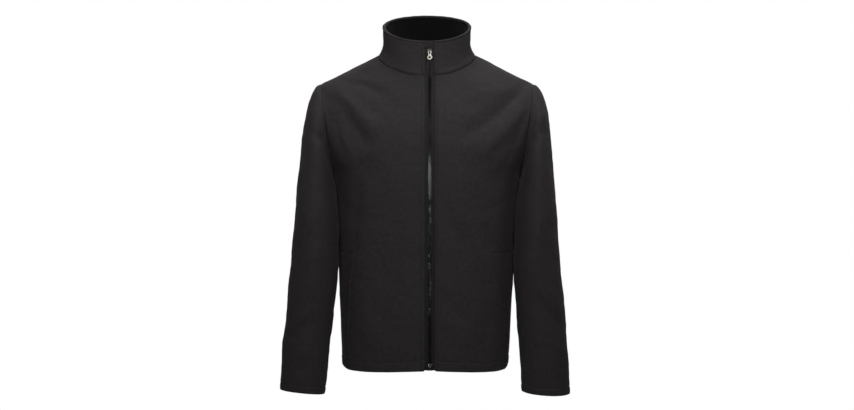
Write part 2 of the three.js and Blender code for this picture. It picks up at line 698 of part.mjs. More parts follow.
// The union of closed geometries.
function fused(...geometries) {
  const solids = geometries.map((geometry) => {
    const bare = geometry.clone();
    bare.deleteAttribute('normal');
    bare.deleteAttribute('uv');
    const merged = mergeVertices(bare, 1e-4);
    const vertProperties = merged.attributes.position.array;
    const triVerts = new Uint32Array(merged.index.array);
    return new wasm.Manifold(new wasm.Mesh({ numProp: 3, vertProperties, triVerts }));
  });
  const mesh = solids.reduce((all, solid) => all.add(solid)).getMesh();
  const geometry = new THREE.BufferGeometry();
  geometry.setAttribute('position', new THREE.Float32BufferAttribute(mesh.vertProperties, 3));
  geometry.setIndex([...mesh.triVerts]);
  geometry.computeVertexNormals();
  return geometry;
}

const PLATE_BACK = CHAIN_DEPTH - LAYER_GAP;
const PLATE_FRONT = PLATE_BACK - SLIDER.plate;
const PIVOT_Y = PLATE_FRONT - BRIDGE.rise / 2;

// The slider: a tapered plate, a flange down each side of the chain, and the bridge for the puller.
function slider() {
  const h = SLIDER.height / 2;
  const top = SLIDER.halfTop;
  const foot = SLIDER.halfBottom;
  const shoulder = h * 0.2;
  const end = top * 0.7;
  const outline = shapeOf([
    [-foot, -h],
    [foot, -h],
    [top, shoulder],
    [end, h],
    [-end, h],
    [-top, shoulder],
  ]);
  const front = PLATE_BACK - SUNK;
  const back = TAPE_DEPTH - LAYER_GAP;
  const flange = (side) =>
    new THREE.BoxGeometry(SLIDER.flange, back - front, SLIDER.height * 0.7).translate(
      side * (foot - SLIDER.flange / 2),
      (back + front) / 2,
      0,
    );
  const inside = BRIDGE.inside;
  const under = PLATE_FRONT - BRIDGE.rise;
  const over = under - BRIDGE.thick;
  const arch = shapeOf([
    [-BRIDGE.leg, PLATE_FRONT + SUNK],
    [-inside, PLATE_FRONT + SUNK],
    [-inside, under],
    [inside, under],
    [inside, PLATE_FRONT + SUNK],
    [BRIDGE.leg, PLATE_FRONT + SUNK],
    [BRIDGE.leg, under],
    [BRIDGE.leg - BRIDGE.thick, over],
    [BRIDGE.thick - BRIDGE.leg, over],
    [-BRIDGE.leg, under],
  ]);
  const bridge = new THREE.ExtrudeGeometry(arch, { depth: BRIDGE.width, bevelEnabled: false })
    .translate(0, 0, -BRIDGE.width / 2)
    .applyMatrix4(new THREE.Matrix4().makeBasis(
      new THREE.Vector3(0, 0, 1),
      new THREE.Vector3(0, 1, 0),
      new THREE.Vector3(-1, 0, 0),
    ));
  const body = plate(outline, PLATE_FRONT, PLATE_BACK);
  return piece('zip_slider', fused(body, flange(-1), flange(1), bridge), ENAMEL_FINISH);
}

// The pull tab: a bar through the bridge, two arms, a waist and an eye.
function puller() {
  const { bar, arm, armEnd, window, windowEnd, waist, waistZ, eyeZ, eye, hole } = PULLER;
  const neck = Math.asin(waist / eye);
  const outline = shapeOf([[arm, bar], [-arm, bar], [-arm, armEnd], [-waist, waistZ]]);
  outline.absarc(0, eyeZ, eye, Math.PI / 2 + neck, Math.PI * 2.5 - neck, false);
  outline.lineTo(waist, waistZ);
  outline.lineTo(arm, armEnd);
  outline.holes.push(shapeOf([[-window, -bar], [-window, windowEnd], [window, windowEnd], [window, -bar]]));
  const ring = new THREE.Path();
  ring.absarc(0, eyeZ, hole, 0, 2 * Math.PI, true);
  outline.holes.push(ring);
  return piece('zip_puller', plate(outline, PIVOT_Y - bar, PIVOT_Y + bar), METAL_FINISH);
}

// The slider and its puller follow the collar's lean.
function onCollar(z) {
  const group = new THREE.Group();
  const up = outOfFront(z);
  group.position.set(ZIP_X, centreFront(z), z);
  group.rotation.x = -Math.atan2(up.z, -up.y);
  return group;
}

function garage() {
  const { fromX, toX, fromZ, toZ, thick, round } = GARAGE;
  const outline = new THREE.Shape();
  outline.moveTo(fromX, toZ);
  outline.lineTo(fromX, fromZ + round);
  outline.absarc(fromX + round, fromZ + round, round, Math.PI, 1.5 * Math.PI, false);
  outline.lineTo(toX - round, fromZ);
  outline.absarc(toX - round, fromZ + round, round, -Math.PI / 2, 0, false);
  outline.lineTo(toX, toZ);
  const group = onCollar(toZ);
  const flat = plate(outline, -LAYER_GAP - thick, -LAYER_GAP).translate(-ZIP_X, 0, -toZ);
  group.add(piece('zip_garage', flat, OUTER_CLOTH));
  return group;
}

const slung = onCollar(SLIDER.z);
slung.add(slider(), puller());

const tape = (name, side) =>
  zipStrip(name, {
    fromX: ZIP_X + side * (LAYER_GAP / 2),
    toX: ZIP_X + side * TAPE_WIDTH,
    depth: TAPE_DEPTH,
    thickness: TAPE,
    fromZ: ZIP_BOTTOM_Z,
    toZ: ZIP_TOP_Z,
    finish: TAPE_FINISH,
  });

const jacket = new THREE.Group();
jacket.add(
  backPanel(),
  front('front_right', -1),
  front('front_left', 1),
  sidePiece('side_piece_right', -1),
  sidePiece('side_piece_left', 1),
  sleeve('sleeve_right', -1),
  sleeve('sleeve_left', 1),
  collar(),
  collarLining(),
  tape('zip_tape_right', -1),
  tape('zip_tape_left', 1),
  zipStrip('zip_chain', {
    fromX: ZIP_X - CHAIN_WIDTH / 2,
    toX: ZIP_X + CHAIN_WIDTH / 2,
    depth: CHAIN_DEPTH,
    thickness: CHAIN,
    fromZ: ZIP_BOTTOM_Z + BOX.height + LAYER_GAP,
    toZ: SLIDER.z - SLIDER.height / 2 - LAYER_GAP,
    finish: TEETH_FINISH,
  }),
  zipStrip('zip_box', {
    fromX: ZIP_X - BOX.width / 2,
    toX: ZIP_X + BOX.width / 2,
    depth: TAPE_DEPTH - LAYER_GAP - BOX.thick,
    thickness: BOX.thick,
    fromZ: ZIP_BOTTOM_Z,
    toZ: ZIP_BOTTOM_Z + BOX.height,
    finish: TEETH_FINISH,
  }),
  slung,
  garage(),
);

export default jacket;
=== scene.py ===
# %% [markdown]
# # A softshell jacket in its worn shape
# A softshell is a woven polyester face bonded to a thin fleece, about 2 mm thick in all. It is cut
# into panels, sewn, turned at the hem and cuffs and closed by a zip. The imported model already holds
# every panel at its real place. Here each panel becomes fine cloth, and the zip gets its teeth.

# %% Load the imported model
import math

import bpy
import numpy as np
from mathutils import Matrix, Vector


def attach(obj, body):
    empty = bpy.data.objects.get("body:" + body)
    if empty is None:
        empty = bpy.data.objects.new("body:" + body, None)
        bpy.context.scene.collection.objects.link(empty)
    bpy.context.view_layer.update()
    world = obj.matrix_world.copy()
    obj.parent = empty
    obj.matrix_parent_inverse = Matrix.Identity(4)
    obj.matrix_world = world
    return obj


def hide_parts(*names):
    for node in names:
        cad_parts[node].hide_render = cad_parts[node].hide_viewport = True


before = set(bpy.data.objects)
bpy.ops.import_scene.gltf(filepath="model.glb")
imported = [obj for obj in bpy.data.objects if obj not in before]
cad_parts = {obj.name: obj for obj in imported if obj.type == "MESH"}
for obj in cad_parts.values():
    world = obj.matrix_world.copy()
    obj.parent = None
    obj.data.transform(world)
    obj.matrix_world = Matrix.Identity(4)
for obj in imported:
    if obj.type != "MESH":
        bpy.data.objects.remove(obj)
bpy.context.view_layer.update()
MM = 0.001
print("solids:", len(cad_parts))

# %% [markdown]
# Sizes are in millimetres, and each mesh turns them to metres at the end. A table here is short and has
# named columns. Values between its rows come from a smooth curve or a straight line through them.


# %% Tables and curves through them
def table(names, *rows):
    """A short table with named columns."""
    return dict(zip(names.split(), np.array(rows, float).T))


NOTHING = 1e-12


def mix(a, b, share):
    return a + (b - a) * share


def smooth(share):
    k = np.clip(share, 0, 1)
    return k * k * (3 - 2 * k)


def straight(rows, key, column, at):
    return np.interp(at, rows[key], rows[column])


def along(rows, key, column, at):
    """A column's value along a smooth curve through the rows."""
    order = np.argsort(rows[key])
    x = rows[key][order]
    y = rows[column][order]
    before = np.maximum(np.arange(len(x)) - 1, 0)
    after = np.minimum(np.arange(len(x)) + 1, len(x) - 1)
    slope = (y[after] - y[before]) / (x[after] - x[before])
    at = np.clip(at, x[0], x[-1])
    i = np.clip(np.searchsorted(x, at) - 1, 0, len(x) - 2)
    step = x[i + 1] - x[i]
    t = (at - x[i]) / step
    start = (2 * t**3 - 3 * t**2 + 1) * y[i] + (t**3 - 2 * t**2 + t) * step * slope[i]
    end = (3 * t**2 - 2 * t**3) * y[i + 1] + (t**3 - t**2) * step * slope[i + 1]
    return start + end


def vectors(x, y, z):
    return np.stack(np.broadcast_arrays(x, y, z), axis=-1).astype(float)


def unit(v):
    return v / np.maximum(np.linalg.norm(v, axis=-1, keepdims=True), NOTHING)


def bell(off, half):
    """1 on a line, and soft to nothing beside it."""
    return np.exp(-((off / half) ** 2))


def run_along(path):
    """How far along a path its points lie."""
    steps = np.linalg.norm(np.diff(path, axis=0), axis=-1)
    return np.concatenate([np.zeros((1, *steps.shape[1:])), np.cumsum(steps, axis=0)])


# %% Sizes of the garment
HEM_Z = -710
UNDERARM_Z = -270
SHOULDER_TIP_Z = -60
NECK_FRONT_Z = -47
CLOTH = 1.8
TURNED_HEM = 3
HEM_DEPTH = 22
HEM_RISE = {"height": 8, "share": 0.3, "dip": 4, "dip_to": 0.85, "fade": 90}
# The cuff's edge is not level: how much higher its inner, outer and front points lie.
CUFF_LEVEL = {
    "left": {"inner": 9, "outer": -2, "front": -5},
    "right": {"inner": 1.5, "outer": 7, "front": 0},
    "from": 0.86,
}
CUFF_DEPTH = 17
SEAM_GAP = 0.4
LAYER_GAP = 0.3

ZIP_X = 6.2
ZIP_MOUTH = 22
TAPE_WIDTH = 11.6
TAPE_DEPTH = 3.3
CHAIN = 2.8
CHAIN_DEPTH = TAPE_DEPTH - LAYER_GAP - CHAIN
ZIP_BOTTOM_Z = -708
ZIP_TOP_Z = 29
SLIDER_Z = 8

# The centre front and the centre back, from the hem to the neck seam.
CENTRE_FRONT = table(
    "z y",
    (-710, -116),
    (-620, -121),
    (-500, -125),
    (-380, -132),
    (-270, -138),
    (-190, -134),
    (-125, -118),
    (-80, -99.5),
    (-47, -86),
)
CENTRE_BACK = table(
    "z y",
    (-710, 113),
    (-600, 110),
    (-480, 108),
    (-360, 119),
    (-270, 131),
    (-190, 138),
    (-120, 134),
    (-60, 117),
    (-15, 96),
    (17, 80),
)
# Half widths at the side seams, on the wearer's right and left.
SIDE_SEAM = table(
    "z right left",
    (-710, 195, 187),
    (-650, 196.5, 190),
    (-560, 200, 194.5),
    (-480, 202.5, 199),
    (-400, 203.5, 202),
    (-340, 205, 205),
    (-270, 212, 212),
)
ARMHOLE = {"underarm_x": 212, "tip_x": 243, "mid_y": 3, "half_depth": 80}
NECK = {"half": 112, "y": (-86, 5, 80), "z": (NECK_FRONT_Z, 3, 17)}
RIM = {"half": 101, "y": (-72, 3, 77), "z": (33, 73, 106)}
COLLAR_FLARE = 0.45

# Rows of a panel, from hem to shoulder: the height h along the cloth, the share v, and the angles
# where a row leaves the neck and meets the armhole.
FRONT_ROWS = table(
    "h v z neck arm",
    (0, 0, -710, 0, 180),
    (440, 0.6, -270, 0, 180),
    (663, 0.86, -47, 0, 62),
    (790, 1, -47, 90, 0),
)
BACK_ROWS = table(
    "h v z neck arm",
    (0, 0, -710, 0, 180),
    (440, 0.6, -270, 0, 180),
    (727, 0.9, 17, 0, 46),
    (830, 1, 17, 90, 0),
)
UNDERARM_V = 0.6
# How a row leaves the centre line or the neck, and how it reaches the armhole.
LEAVE_CENTRE = table(
    "v x y z reach",
    (0, 1, 0, 0, 122),
    (0.6, 1, 0, 0, 128),
    (0.86, 0.99, 0.05, -0.12, 84),
    (0.93, 0.95, 0.08, -0.3, 62),
    (1, 0.9, 0, -0.43, 45),
)
REACH_ARMHOLE = table(
    "arm x y z reach",
    (0, 0.9, 0, -0.44, 46),
    (30, 0.9, 0.12, -0.38, 48),
    (60, 0.93, 0.3, -0.2, 52),
    (90, 0.85, 0.52, -0.05, 58),
    (120, 0.62, 0.78, 0, 66),
    (150, 0.28, 0.96, 0, 74),
    (180, 0, 1, 0, 80),
)
SIDE_REACH = 0.6
# The slanted pocket mouth on each front.
POCKET_LINE = table(
    "z right left",
    (-710, 180, 178),
    (-610, 181, 181),
    (-575, 180, 180),
    (-550, 178.5, 172),
    (-520, 177, 160),
    (-483, 173, 151),
    (-445, 168, 145),
)
SIDE_PIECE_TOP_Z = -445
# Sections of a sleeve, an ellipse through an inner and an outer point.
SLEEVE = table(
    "t in_z out_z in_left out_left in_right out_right mid_y half",
    (0, -270, -60, 212, 243, 212, 243, 3, 80),
    (0.05, -275, -66, 212.9, 254, 212.9, 253.4, 0, 83),
    (0.11, -281, -86, 211.7, 266.6, 211.4, 264.8, -6, 86),
    (0.19, -289, -124, 210, 275.8, 209.4, 274.8, -15, 88),
    (0.27, -301, -182, 208, 282.2, 207.2, 284, -23, 87),
    (0.36, -325, -264, 204.9, 287.9, 204.6, 292.3, -32, 83),
    (0.46, -375, -345, 200.2, 294.2, 200.8, 299.6, -38, 77),
    (0.57, -450, -438, 197.6, 301.1, 199.8, 307.5, -42, 69),
    (0.67, -520, -516, 198.2, 307.5, 204.6, 314.3, -44, 62),
    (0.79, -605, -603, 205.2, 315.4, 214.8, 322.6, -45, 54),
    (0.91, -700, -699, 211.6, 321.9, 224.8, 331.1, -46, 46),
    (1, -769, -764, 215, 325, 231.8, 333.8, -47, 41),
)

# %% [markdown]
# ## The garment's smooth form
# A body panel is a stack of rows. Each row is a Bezier curve that leaves the zip, the centre back or
# the neck seam and ends at the side seam or the armhole. The neck seam and the collar's top edge are
# closed loops, and the armhole is an ellipse. numpy works out whole rows at once.


# %% Loops of the neck and the armhole
def loop_point(loop, degrees):
    """A point on the neck seam or the collar's top edge: 0 at the centre front, 180 at the back."""
    c = np.cos(np.radians(degrees))

    def through(front, side, back):
        return side + (front - back) / 2 * c + ((front + back) / 2 - side) * c * c

    return vectors(loop["half"] * np.sin(np.radians(degrees)), through(*loop["y"]), through(*loop["z"]))


def armhole_point(side, degrees, out):
    """A point on the armhole: 0 at the shoulder tip, 180 at the underarm, 90 at the front."""
    up = (1 + np.cos(np.radians(degrees))) / 2
    return vectors(
        side * (mix(ARMHOLE["underarm_x"], ARMHOLE["tip_x"], up) + out),
        ARMHOLE["mid_y"] - ARMHOLE["half_depth"] * np.sin(np.radians(degrees)),
        mix(UNDERARM_Z, SHOULDER_TIP_Z, up),
    )


def zip_edge(side):
    return ZIP_MOUTH / 2 + side * ZIP_X


def zip_edge_angle(side):
    return math.degrees(math.asin(zip_edge(side) / NECK["half"]))


# %% Rows of the fronts and the back
def handle(rows, key, at):
    toward = vectors(*(straight(rows, key, column, at) for column in "xyz"))
    return unit(toward) * straight(rows, key, "reach", at)[:, None]


def row_start(face, side, v):
    """The inner ends of rows: on the zip's edge or the centre back, and higher up on the neck seam."""
    rows = FRONT_ROWS if face < 0 else BACK_ROWS
    turn = straight(rows, "v", "neck", v) / 90
    first = zip_edge_angle(side) if face < 0 else 180
    on_neck = loop_point(NECK, mix(first, 90, turn))
    on_neck[:, 0] *= side
    on_neck[:, 1] += face * turn * SEAM_GAP / 2
    on_neck[:, 2] -= SEAM_GAP / 2
    corner = loop_point(NECK, np.array([first]))[0]
    line = CENTRE_FRONT if face < 0 else CENTRE_BACK
    z = straight(rows, "v", "z", v)
    near = smooth((z - UNDERARM_Z) / (NECK_FRONT_Z - UNDERARM_Z))
    x = side * zip_edge(side) if face < 0 else 0
    y = along(line, "z", "y", z) + near * (corner[1] - line["y"][-1])
    up = z + near * (corner[2] - SEAM_GAP / 2 - line["z"][-1])
    return np.where((turn > 0)[:, None], on_neck, vectors(x, y, up))


def side_name(side):
    return "left" if side > 0 else "right"


def body_rows(face, side, v):
    """The four control points of each row."""
    rows = FRONT_ROWS if face < 0 else BACK_ROWS
    arm = straight(rows, "v", "arm", v)
    start = row_start(face, side, v)
    turned = np.array([side, -face, 1])
    leave = handle(LEAVE_CENTRE, "v", v) * turned
    half = along(SIDE_SEAM, "z", side_name(side), start[:, 2])
    at_side = vectors(side * half, ARMHOLE["mid_y"], start[:, 2])
    at_armhole = armhole_point(side, -face * arm, -SEAM_GAP / 2)
    side_reach = vectors(0 * half, -face * SIDE_REACH * np.abs(start[:, 1]), 0)
    armhole_reach = handle(REACH_ARMHOLE, "arm", arm) * turned
    low = (v < UNDERARM_V)[:, None]
    end = np.where(low, at_side, at_armhole) + vectors(0, face * SEAM_GAP / 2, 0)
    reach = np.where(low, side_reach, armhole_reach)
    return start, start + leave, end - reach, end


def on_rows(controls, share):
    """Points on the rows, for a grid of shares with one line of it for each row. The hem dips a little
    between the zip and the side seam, and rises towards the seam."""
    s = share[:, :, None]
    a, b, c, d = (p[:, None, :] for p in controls)
    points = (1 - s) ** 3 * a + 3 * s * (1 - s) ** 2 * b + 3 * s * s * (1 - s) * c + s**3 * d
    at_side = smooth((share - 1 + HEM_RISE["share"]) / HEM_RISE["share"])
    near_hem = smooth(1 - (points[..., 2] - HEM_Z) / HEM_RISE["fade"])
    dip = HEM_RISE["dip"] * np.sin(math.pi * np.minimum(share / HEM_RISE["dip_to"], 1))
    points[..., 2] += (HEM_RISE["height"] * at_side - dip) * near_hem
    return points


# %% [markdown]
# ## Grids that know their edges
# Cloth needs fine rows and columns beside seams and stitch lines, and wider ones between. The places
# of rows and columns are therefore measured along the cloth in millimetres, from its cut edges. The
# same distances later shape each seam, hem and stitch line.


# %% Places along a length
def spread(length, step, close=(), fine=0.7, reach=9):
    """Places along a length, a step apart, and closer together beside seams and stitch lines."""
    places = [0.0]
    while places[-1] < length:
        gap = min((abs(places[-1] + fine - at) for at in close), default=reach)
        places.append(places[-1] + mix(fine, step, float(smooth(gap / reach))))
    return np.array(places) * length / places[-1]


def beside(*places):
    """Distances from an edge at which a grid has its rows or columns."""
    return np.array(places, float)


def laid_out(lengths, from_start, from_end, between):
    """Places along each row: set distances from its two ends, and evenly between them."""
    first = from_start[-1]
    last = lengths - from_end[-1]
    even = np.linspace(0, 1, between + 2)[1:-1]
    middle = first + (last - first)[:, None] * even
    ends = lengths[:, None] - from_end[::-1]
    return np.hstack([np.tile(from_start, (len(lengths), 1)), middle, ends])


SAMPLES = 400


def patch(controls, low, high, from_start, from_end, between):
    """A grid between two shares of each row. Gives its points and how far along their rows they lie."""
    share = mix(low[:, None], high[:, None], np.linspace(0, 1, SAMPLES))
    path = on_rows(controls, share)
    run = run_along(path.swapaxes(0, 1)).T
    places = laid_out(run[:, -1], from_start, from_end, between)
    shares = np.array([np.interp(p, r, s) for p, r, s in zip(places, run, share)])
    return on_rows(controls, shares), places


SOFTEN_ROUNDS = 60


def soften(points, heights, hold, where):
    """Evens out the bends between rows, more where the weight is high, and leaves held edges alone."""
    below = np.diff(heights)[:-1, None, None]
    above = np.diff(heights)[1:, None, None]
    weight = (hold * where[:, None])[1:-1, :, None]
    soft = points.copy()
    for _ in range(SOFTEN_ROUNDS):
        even = (above * soft[:-2] + below * soft[2:]) / (below + above)
        soft[1:-1] += weight * (even - soft[1:-1])
    return soft


def normals_of(points, inside, wrap=False):
    """Unit normals of a grid, pointing away from a point inside the garment."""
    if wrap:
        padded = np.concatenate([points[:, -1:], points, points[:, :1]], axis=1)
        across = np.gradient(padded, axis=1)[:, 1:-1]
    else:
        across = np.gradient(points, axis=1)
    normals = unit(np.cross(across, np.gradient(points, axis=0)))
    return normals * np.sign(np.sum(normals * (points - inside)))


# %% [markdown]
# ## Folds, seams and edges
# Soft folds are placed where the worn jacket has them: some pull from each shoulder tip across
# the chest, more sit at the underarm, the elbow and the pocket. A fold is a line in the front view,
# bowed a little, wider towards its end, and steeper on one side. A seam is a shallow groove between two
# soft ridges, because the seam allowance lies behind it. A turned edge is rolled, and a stitch line
# pulls the cloth in.

# %% Tables of folds
FOLD_COLUMNS = "x0 z0 x1 z1 bow width height"
FRONT_FOLDS = table(
    FOLD_COLUMNS,
    (-203, -74, -102, -175, 4, 17, 5),
    (-184, -56, -83, -90, -3, 13, -4.5),
    (-184, -118, -128, -205, 5, 15, -6),
    (218, -74, 92, -181, -6, 15, -6),
    (226, -112, 124, -219, -5, 17, 6),
    (-150, -290, -160, -390, 3, 14, -5.5),
    (134, -380, 150, -445, 2, 12, -5),
    (-156, -370, -164, -445, 3, 12, -5),
    (36, -331, 105, -463, 5, 20, -3.5),
    (105, -463, 170, -622, 4, 20, -3.5),
    (-60, -430, -120, -620, -8, 22, -3),
    (-205, -150, -176, -235, 4, 8, -2.2),
    (-196, -175, -160, -262, -3, 7, 1.6),
    (214, -160, 176, -240, -4, 8, -2.2),
    (205, -205, 150, -262, 4, 9, 1.8),
    (-120, -64, -60, -96, 3, 9, 1.2),
    (84, -96, 186, -80, -5, 11, 1.8),
    (-190, -330, -120, -372, 3, 10, -1.5),
    (188, -322, 128, -352, -3, 9, -1.6),
    (-70, -250, -96, -372, 4, 14, 1.3),
    (70, -245, 84, -330, -3, 13, 1.2),
    (-150, -520, -118, -610, 4, 12, 1.4),
    (60, -540, 84, -650, -3, 14, 1.4),
    (150, -590, 120, -670, 3, 10, -1.4),
    (-40, -600, -62, -684, 2, 10, 1.1),
    (29, -527, 85, -599, 3, 12, -2.2),
)
BACK_FOLDS = table(
    FOLD_COLUMNS,
    (-190, -110, -70, -190, 6, 18, -4.5),
    (190, -110, 75, -200, -6, 18, -4.5),
    (-200, -290, -80, -400, 5, 20, -4.5),
    (195, -300, 70, -420, -5, 20, -4.5),
    (-30, -440, -50, -640, 6, 24, -3.5),
    (90, -470, 120, -640, -5, 22, -3),
    (-150, -150, -60, -240, -4, 12, 2.4),
    (150, -145, 62, -250, 4, 12, 2.4),
    (-188, -340, -96, -452, -4, 12, 2.2),
    (186, -350, 88, -470, 4, 12, 2.2),
    (-120, -560, -150, -680, 4, 13, -1.8),
    (20, -500, 30, -650, 3, 13, 1.7),
    (-70, -40, 60, -62, -8, 14, -1.6),
)
LEFT_ARM_FOLDS = table(
    FOLD_COLUMNS,
    (229, -197, 264, -160, 3, 13, -5),
    (291, -297, 278, -377, -3, 12, 3.5),
    (262, -330, 238, -510, 6, 18, 4),
    (246, -545, 300, -610, 5, 16, -4.5),
    (236, -168, 268, -128, -3, 8, 1.8),
    (248, -250, 232, -330, 3, 10, -2.4),
    (270, -420, 296, -480, 4, 12, -2),
    (262, -640, 306, -668, 3, 10, 1.6),
    (284, -520, 292, -600, -2, 10, 1.8),
)
RIGHT_ARM_FOLDS = table(
    FOLD_COLUMNS,
    (228, -190, 262, -165, 3, 13, -5),
    (285, -300, 262, -400, -4, 15, 3.5),
    (240, -430, 262, -540, -5, 18, 4),
    (256, -590, 318, -640, 5, 16, -4.5),
    (232, -150, 262, -120, -2, 8, 1.6),
    (250, -240, 240, -330, -3, 10, -2.4),
    (288, -430, 300, -520, 3, 12, -1.8),
    (272, -655, 316, -690, 2, 10, 1.5),
    (262, -690, 300, -716, 2, 9, -1.2),
)
PAST_END = 0.2
FADE_OVER = 0.45
LEAN = 0.22
WIDENS = (0.85, 1.15)
SHORTEST = 0.45


# %% Heights of folds and of finer waves
def fold_height(folds, x, z):
    """How far the cloth lies out of its smooth form."""
    height = np.zeros_like(x)
    for x0, z0, x1, z1, bow, width, tall in zip(*(folds[name] for name in FOLD_COLUMNS.split())):
        dx, dz = x1 - x0, z1 - z0
        length = math.hypot(dx, dz)
        t = ((x - x0) * dx + (z - z0) * dz) / length**2
        off = ((x - x0) * dz - (z - z0) * dx) / length - 4 * bow * t * (1 - t)
        broad = width * mix(*WIDENS, np.clip(t, 0, 1)) * (1 + LEAN * np.sign(off))
        fade = smooth((t + PAST_END) / FADE_OVER) * smooth((1 + PAST_END - t) / FADE_OVER)
        height += tall * fade * bell(off, broad)
    return height


def waves(points, seed, longest, height, count=14):
    """Low, uneven waves from a sum of sines in random directions, the same on every run."""
    draw = np.random.default_rng(seed)
    total = np.zeros(points.shape[:-1])
    for _ in range(count):
        direction = unit(draw.normal(size=3))
        length = longest * draw.uniform(SHORTEST, 1)
        phase = draw.uniform(0, 2 * math.pi)
        total += np.sin(points @ direction * 2 * math.pi / length + phase)
    return total * height / math.sqrt(count / 2)


# %% Profiles of seams, rolled edges and stitch lines
SEAM_DEEP = {"armhole": 0.35, "waist": 0.6, "side": 0.8}
GROOVE = {"half": 1.9, "ridge_at": 5.5, "ridge_half": 2.8, "ridge": 0.3}
PULL_HALF = 1.3
PUCKER = {"half": 7, "longest": 26, "height": 0.3, "count": 9}
EDGE_ROUND = 1.7
HEM_FADE = 3


def seam_groove(distance, deep=1.0):
    ridge = GROOVE["ridge"] * bell(distance - GROOVE["ridge_at"], GROOVE["ridge_half"])
    return deep * (ridge - bell(distance, GROOVE["half"]))


def rolled(distance, radius=EDGE_ROUND):
    inside = np.clip(radius - distance, 0, radius)
    return np.sqrt(radius**2 - inside**2) - radius


def stitched(distance, at, run, seed, deep=0.8, full=0.6):
    """A stitch line pulls the cloth in, the turning behind it stays full, and both pucker a little."""
    turning = full * np.sin(math.pi * np.clip(distance / at, 0, 1))
    along_edge = np.stack([run, 0 * run, 0 * run], axis=-1)
    pucker = waves(along_edge, seed, PUCKER["longest"], PUCKER["height"], PUCKER["count"])
    return turning - deep * bell(distance - at, PULL_HALF) + pucker * bell(distance - at, PUCKER["half"])


def turned_edge(distance, depth, run, seed):
    """A turned and stitched edge: its relief, the wall's thickness, and where the woven face turns in."""
    relief = rolled(distance) + stitched(distance, depth, run, seed)
    thickness = mix(TURNED_HEM, CLOTH, smooth((distance - depth) / HEM_FADE))
    return relief, thickness, distance < depth


# %% [markdown]
# ## Cloth as a wall
# A sheet of cloth has two faces. The outer grid carries every groove and roll, the inner grid lies one
# thickness behind the folds, and a strip joins their edges. The inside of the cloth is fleece, except
# where a hem or cuff turns the woven face inwards. The UV map holds real distances along the cloth, in
# metres, so that a weave follows the folds.


# %% Build a cloth wall
def outer_quads(rows, columns, keep, wrap):
    """Corner numbers of the grid's kept faces, and the corners' places in the grid."""
    j, i = np.meshgrid(np.arange(rows - 1), np.arange(columns - (0 if wrap else 1)), indexing="ij")
    j, i = j[keep], i[keep]
    corner_rows = np.stack([j, j, j + 1, j + 1], axis=1)
    corner_columns = np.stack([i, i + 1, i + 1, i], axis=1)
    return corner_rows * columns + corner_columns % columns, corner_rows, corner_columns


def rim_quads(quads, count):
    """Faces that join the free edges of the outer grid to the inner one."""
    start = quads.ravel()
    end = np.roll(quads, -1, axis=1).ravel()
    size = int(quads.max()) + 1
    forward = start.astype(np.int64) * size + end
    backward = end.astype(np.int64) * size + start
    free = ~np.isin(forward, backward)
    a, b = start[free], end[free]
    return np.stack([b, a, a + count, b + count], axis=1), free


def make_mesh(name, vertices, quads, uv=None, finish=None):
    """A mesh object from arrays, in metres, smooth, with unused vertices left out."""
    used, inverse = np.unique(quads, return_inverse=True)
    corners = inverse.reshape(quads.shape).astype(np.int32)
    mesh = bpy.data.meshes.new(name)
    mesh.vertices.add(len(used))
    mesh.vertices.foreach_set("co", (vertices[used] * MM).ravel())
    mesh.loops.add(corners.size)
    mesh.loops.foreach_set("vertex_index", corners.ravel())
    mesh.polygons.add(len(corners))
    mesh.polygons.foreach_set("loop_start", np.arange(0, corners.size, corners.shape[1], dtype=np.int32))
    if finish is not None:
        mesh.polygons.foreach_set("material_index", finish.astype(np.int32))
    mesh.update(calc_edges=True)
    mesh.validate()
    if uv is not None:
        layer = mesh.uv_layers.new(name="cloth")
        layer.uv.foreach_set("vector", (uv * MM).ravel())
    mesh.shade_smooth()
    piece = bpy.data.objects.new(name, mesh)
    bpy.context.scene.collection.objects.link(piece)
    return piece


# The finished outer surfaces, by the name of their cloth, for the stitch lines.
SURFACES = {}


def cloth(name, base, outward, lift, thickness, uv, keep=None, wrap=False, turned=None, number=None):
    """A cloth wall from a grid. lift is the outer face's fine relief, turned marks the places where the
    woven face is turned inwards, and number gives grid points that are one point the same number."""
    rows, columns = base.shape[:2]
    if keep is None:
        keep = np.ones((rows - 1, columns - (0 if wrap else 1)), bool)
    quads, corner_rows, corner_columns = outer_quads(rows, columns, keep, wrap)
    if number is not None:
        quads = number.ravel()[quads]
    outer = (base + outward * lift[..., None]).reshape(-1, 3)
    inner = (base - outward * thickness[..., None]).reshape(-1, 3)
    count = rows * columns
    corners = outer[quads]
    facing = np.cross(corners[:, 1] - corners[:, 0], corners[:, 3] - corners[:, 0])
    if np.sum(facing * outward.reshape(-1, 3)[quads[:, 0]]) < 0:
        quads = quads[:, ::-1]
        corner_rows, corner_columns = corner_rows[:, ::-1], corner_columns[:, ::-1]
    rim, free = rim_quads(quads, count)
    inside = quads[:, ::-1] + count
    places = uv[corner_rows, corner_columns]
    rim_start = places.reshape(-1, 2)[free]
    rim_end = np.roll(places, -1, axis=1).reshape(-1, 2)[free]
    rim_uv = np.stack([rim_end, rim_start, rim_start, rim_end], axis=1)
    all_uv = np.concatenate([places, places[:, ::-1], rim_uv])
    finish = np.zeros(len(quads) * 2 + len(rim))
    back = np.ones(len(quads))
    if turned is not None:
        back[turned.reshape(-1)[quads[:, 0]]] = 0
    finish[len(quads) : 2 * len(quads)] = back
    piece = make_mesh(name, np.vstack([outer, inner]), np.vstack([quads, inside, rim]), all_uv, finish)
    area = np.linalg.norm(facing, axis=1).sum() * MM**2
    print(f"{name}: {len(piece.data.polygons)} faces, {area:.4f} m2 of cloth")
    return piece


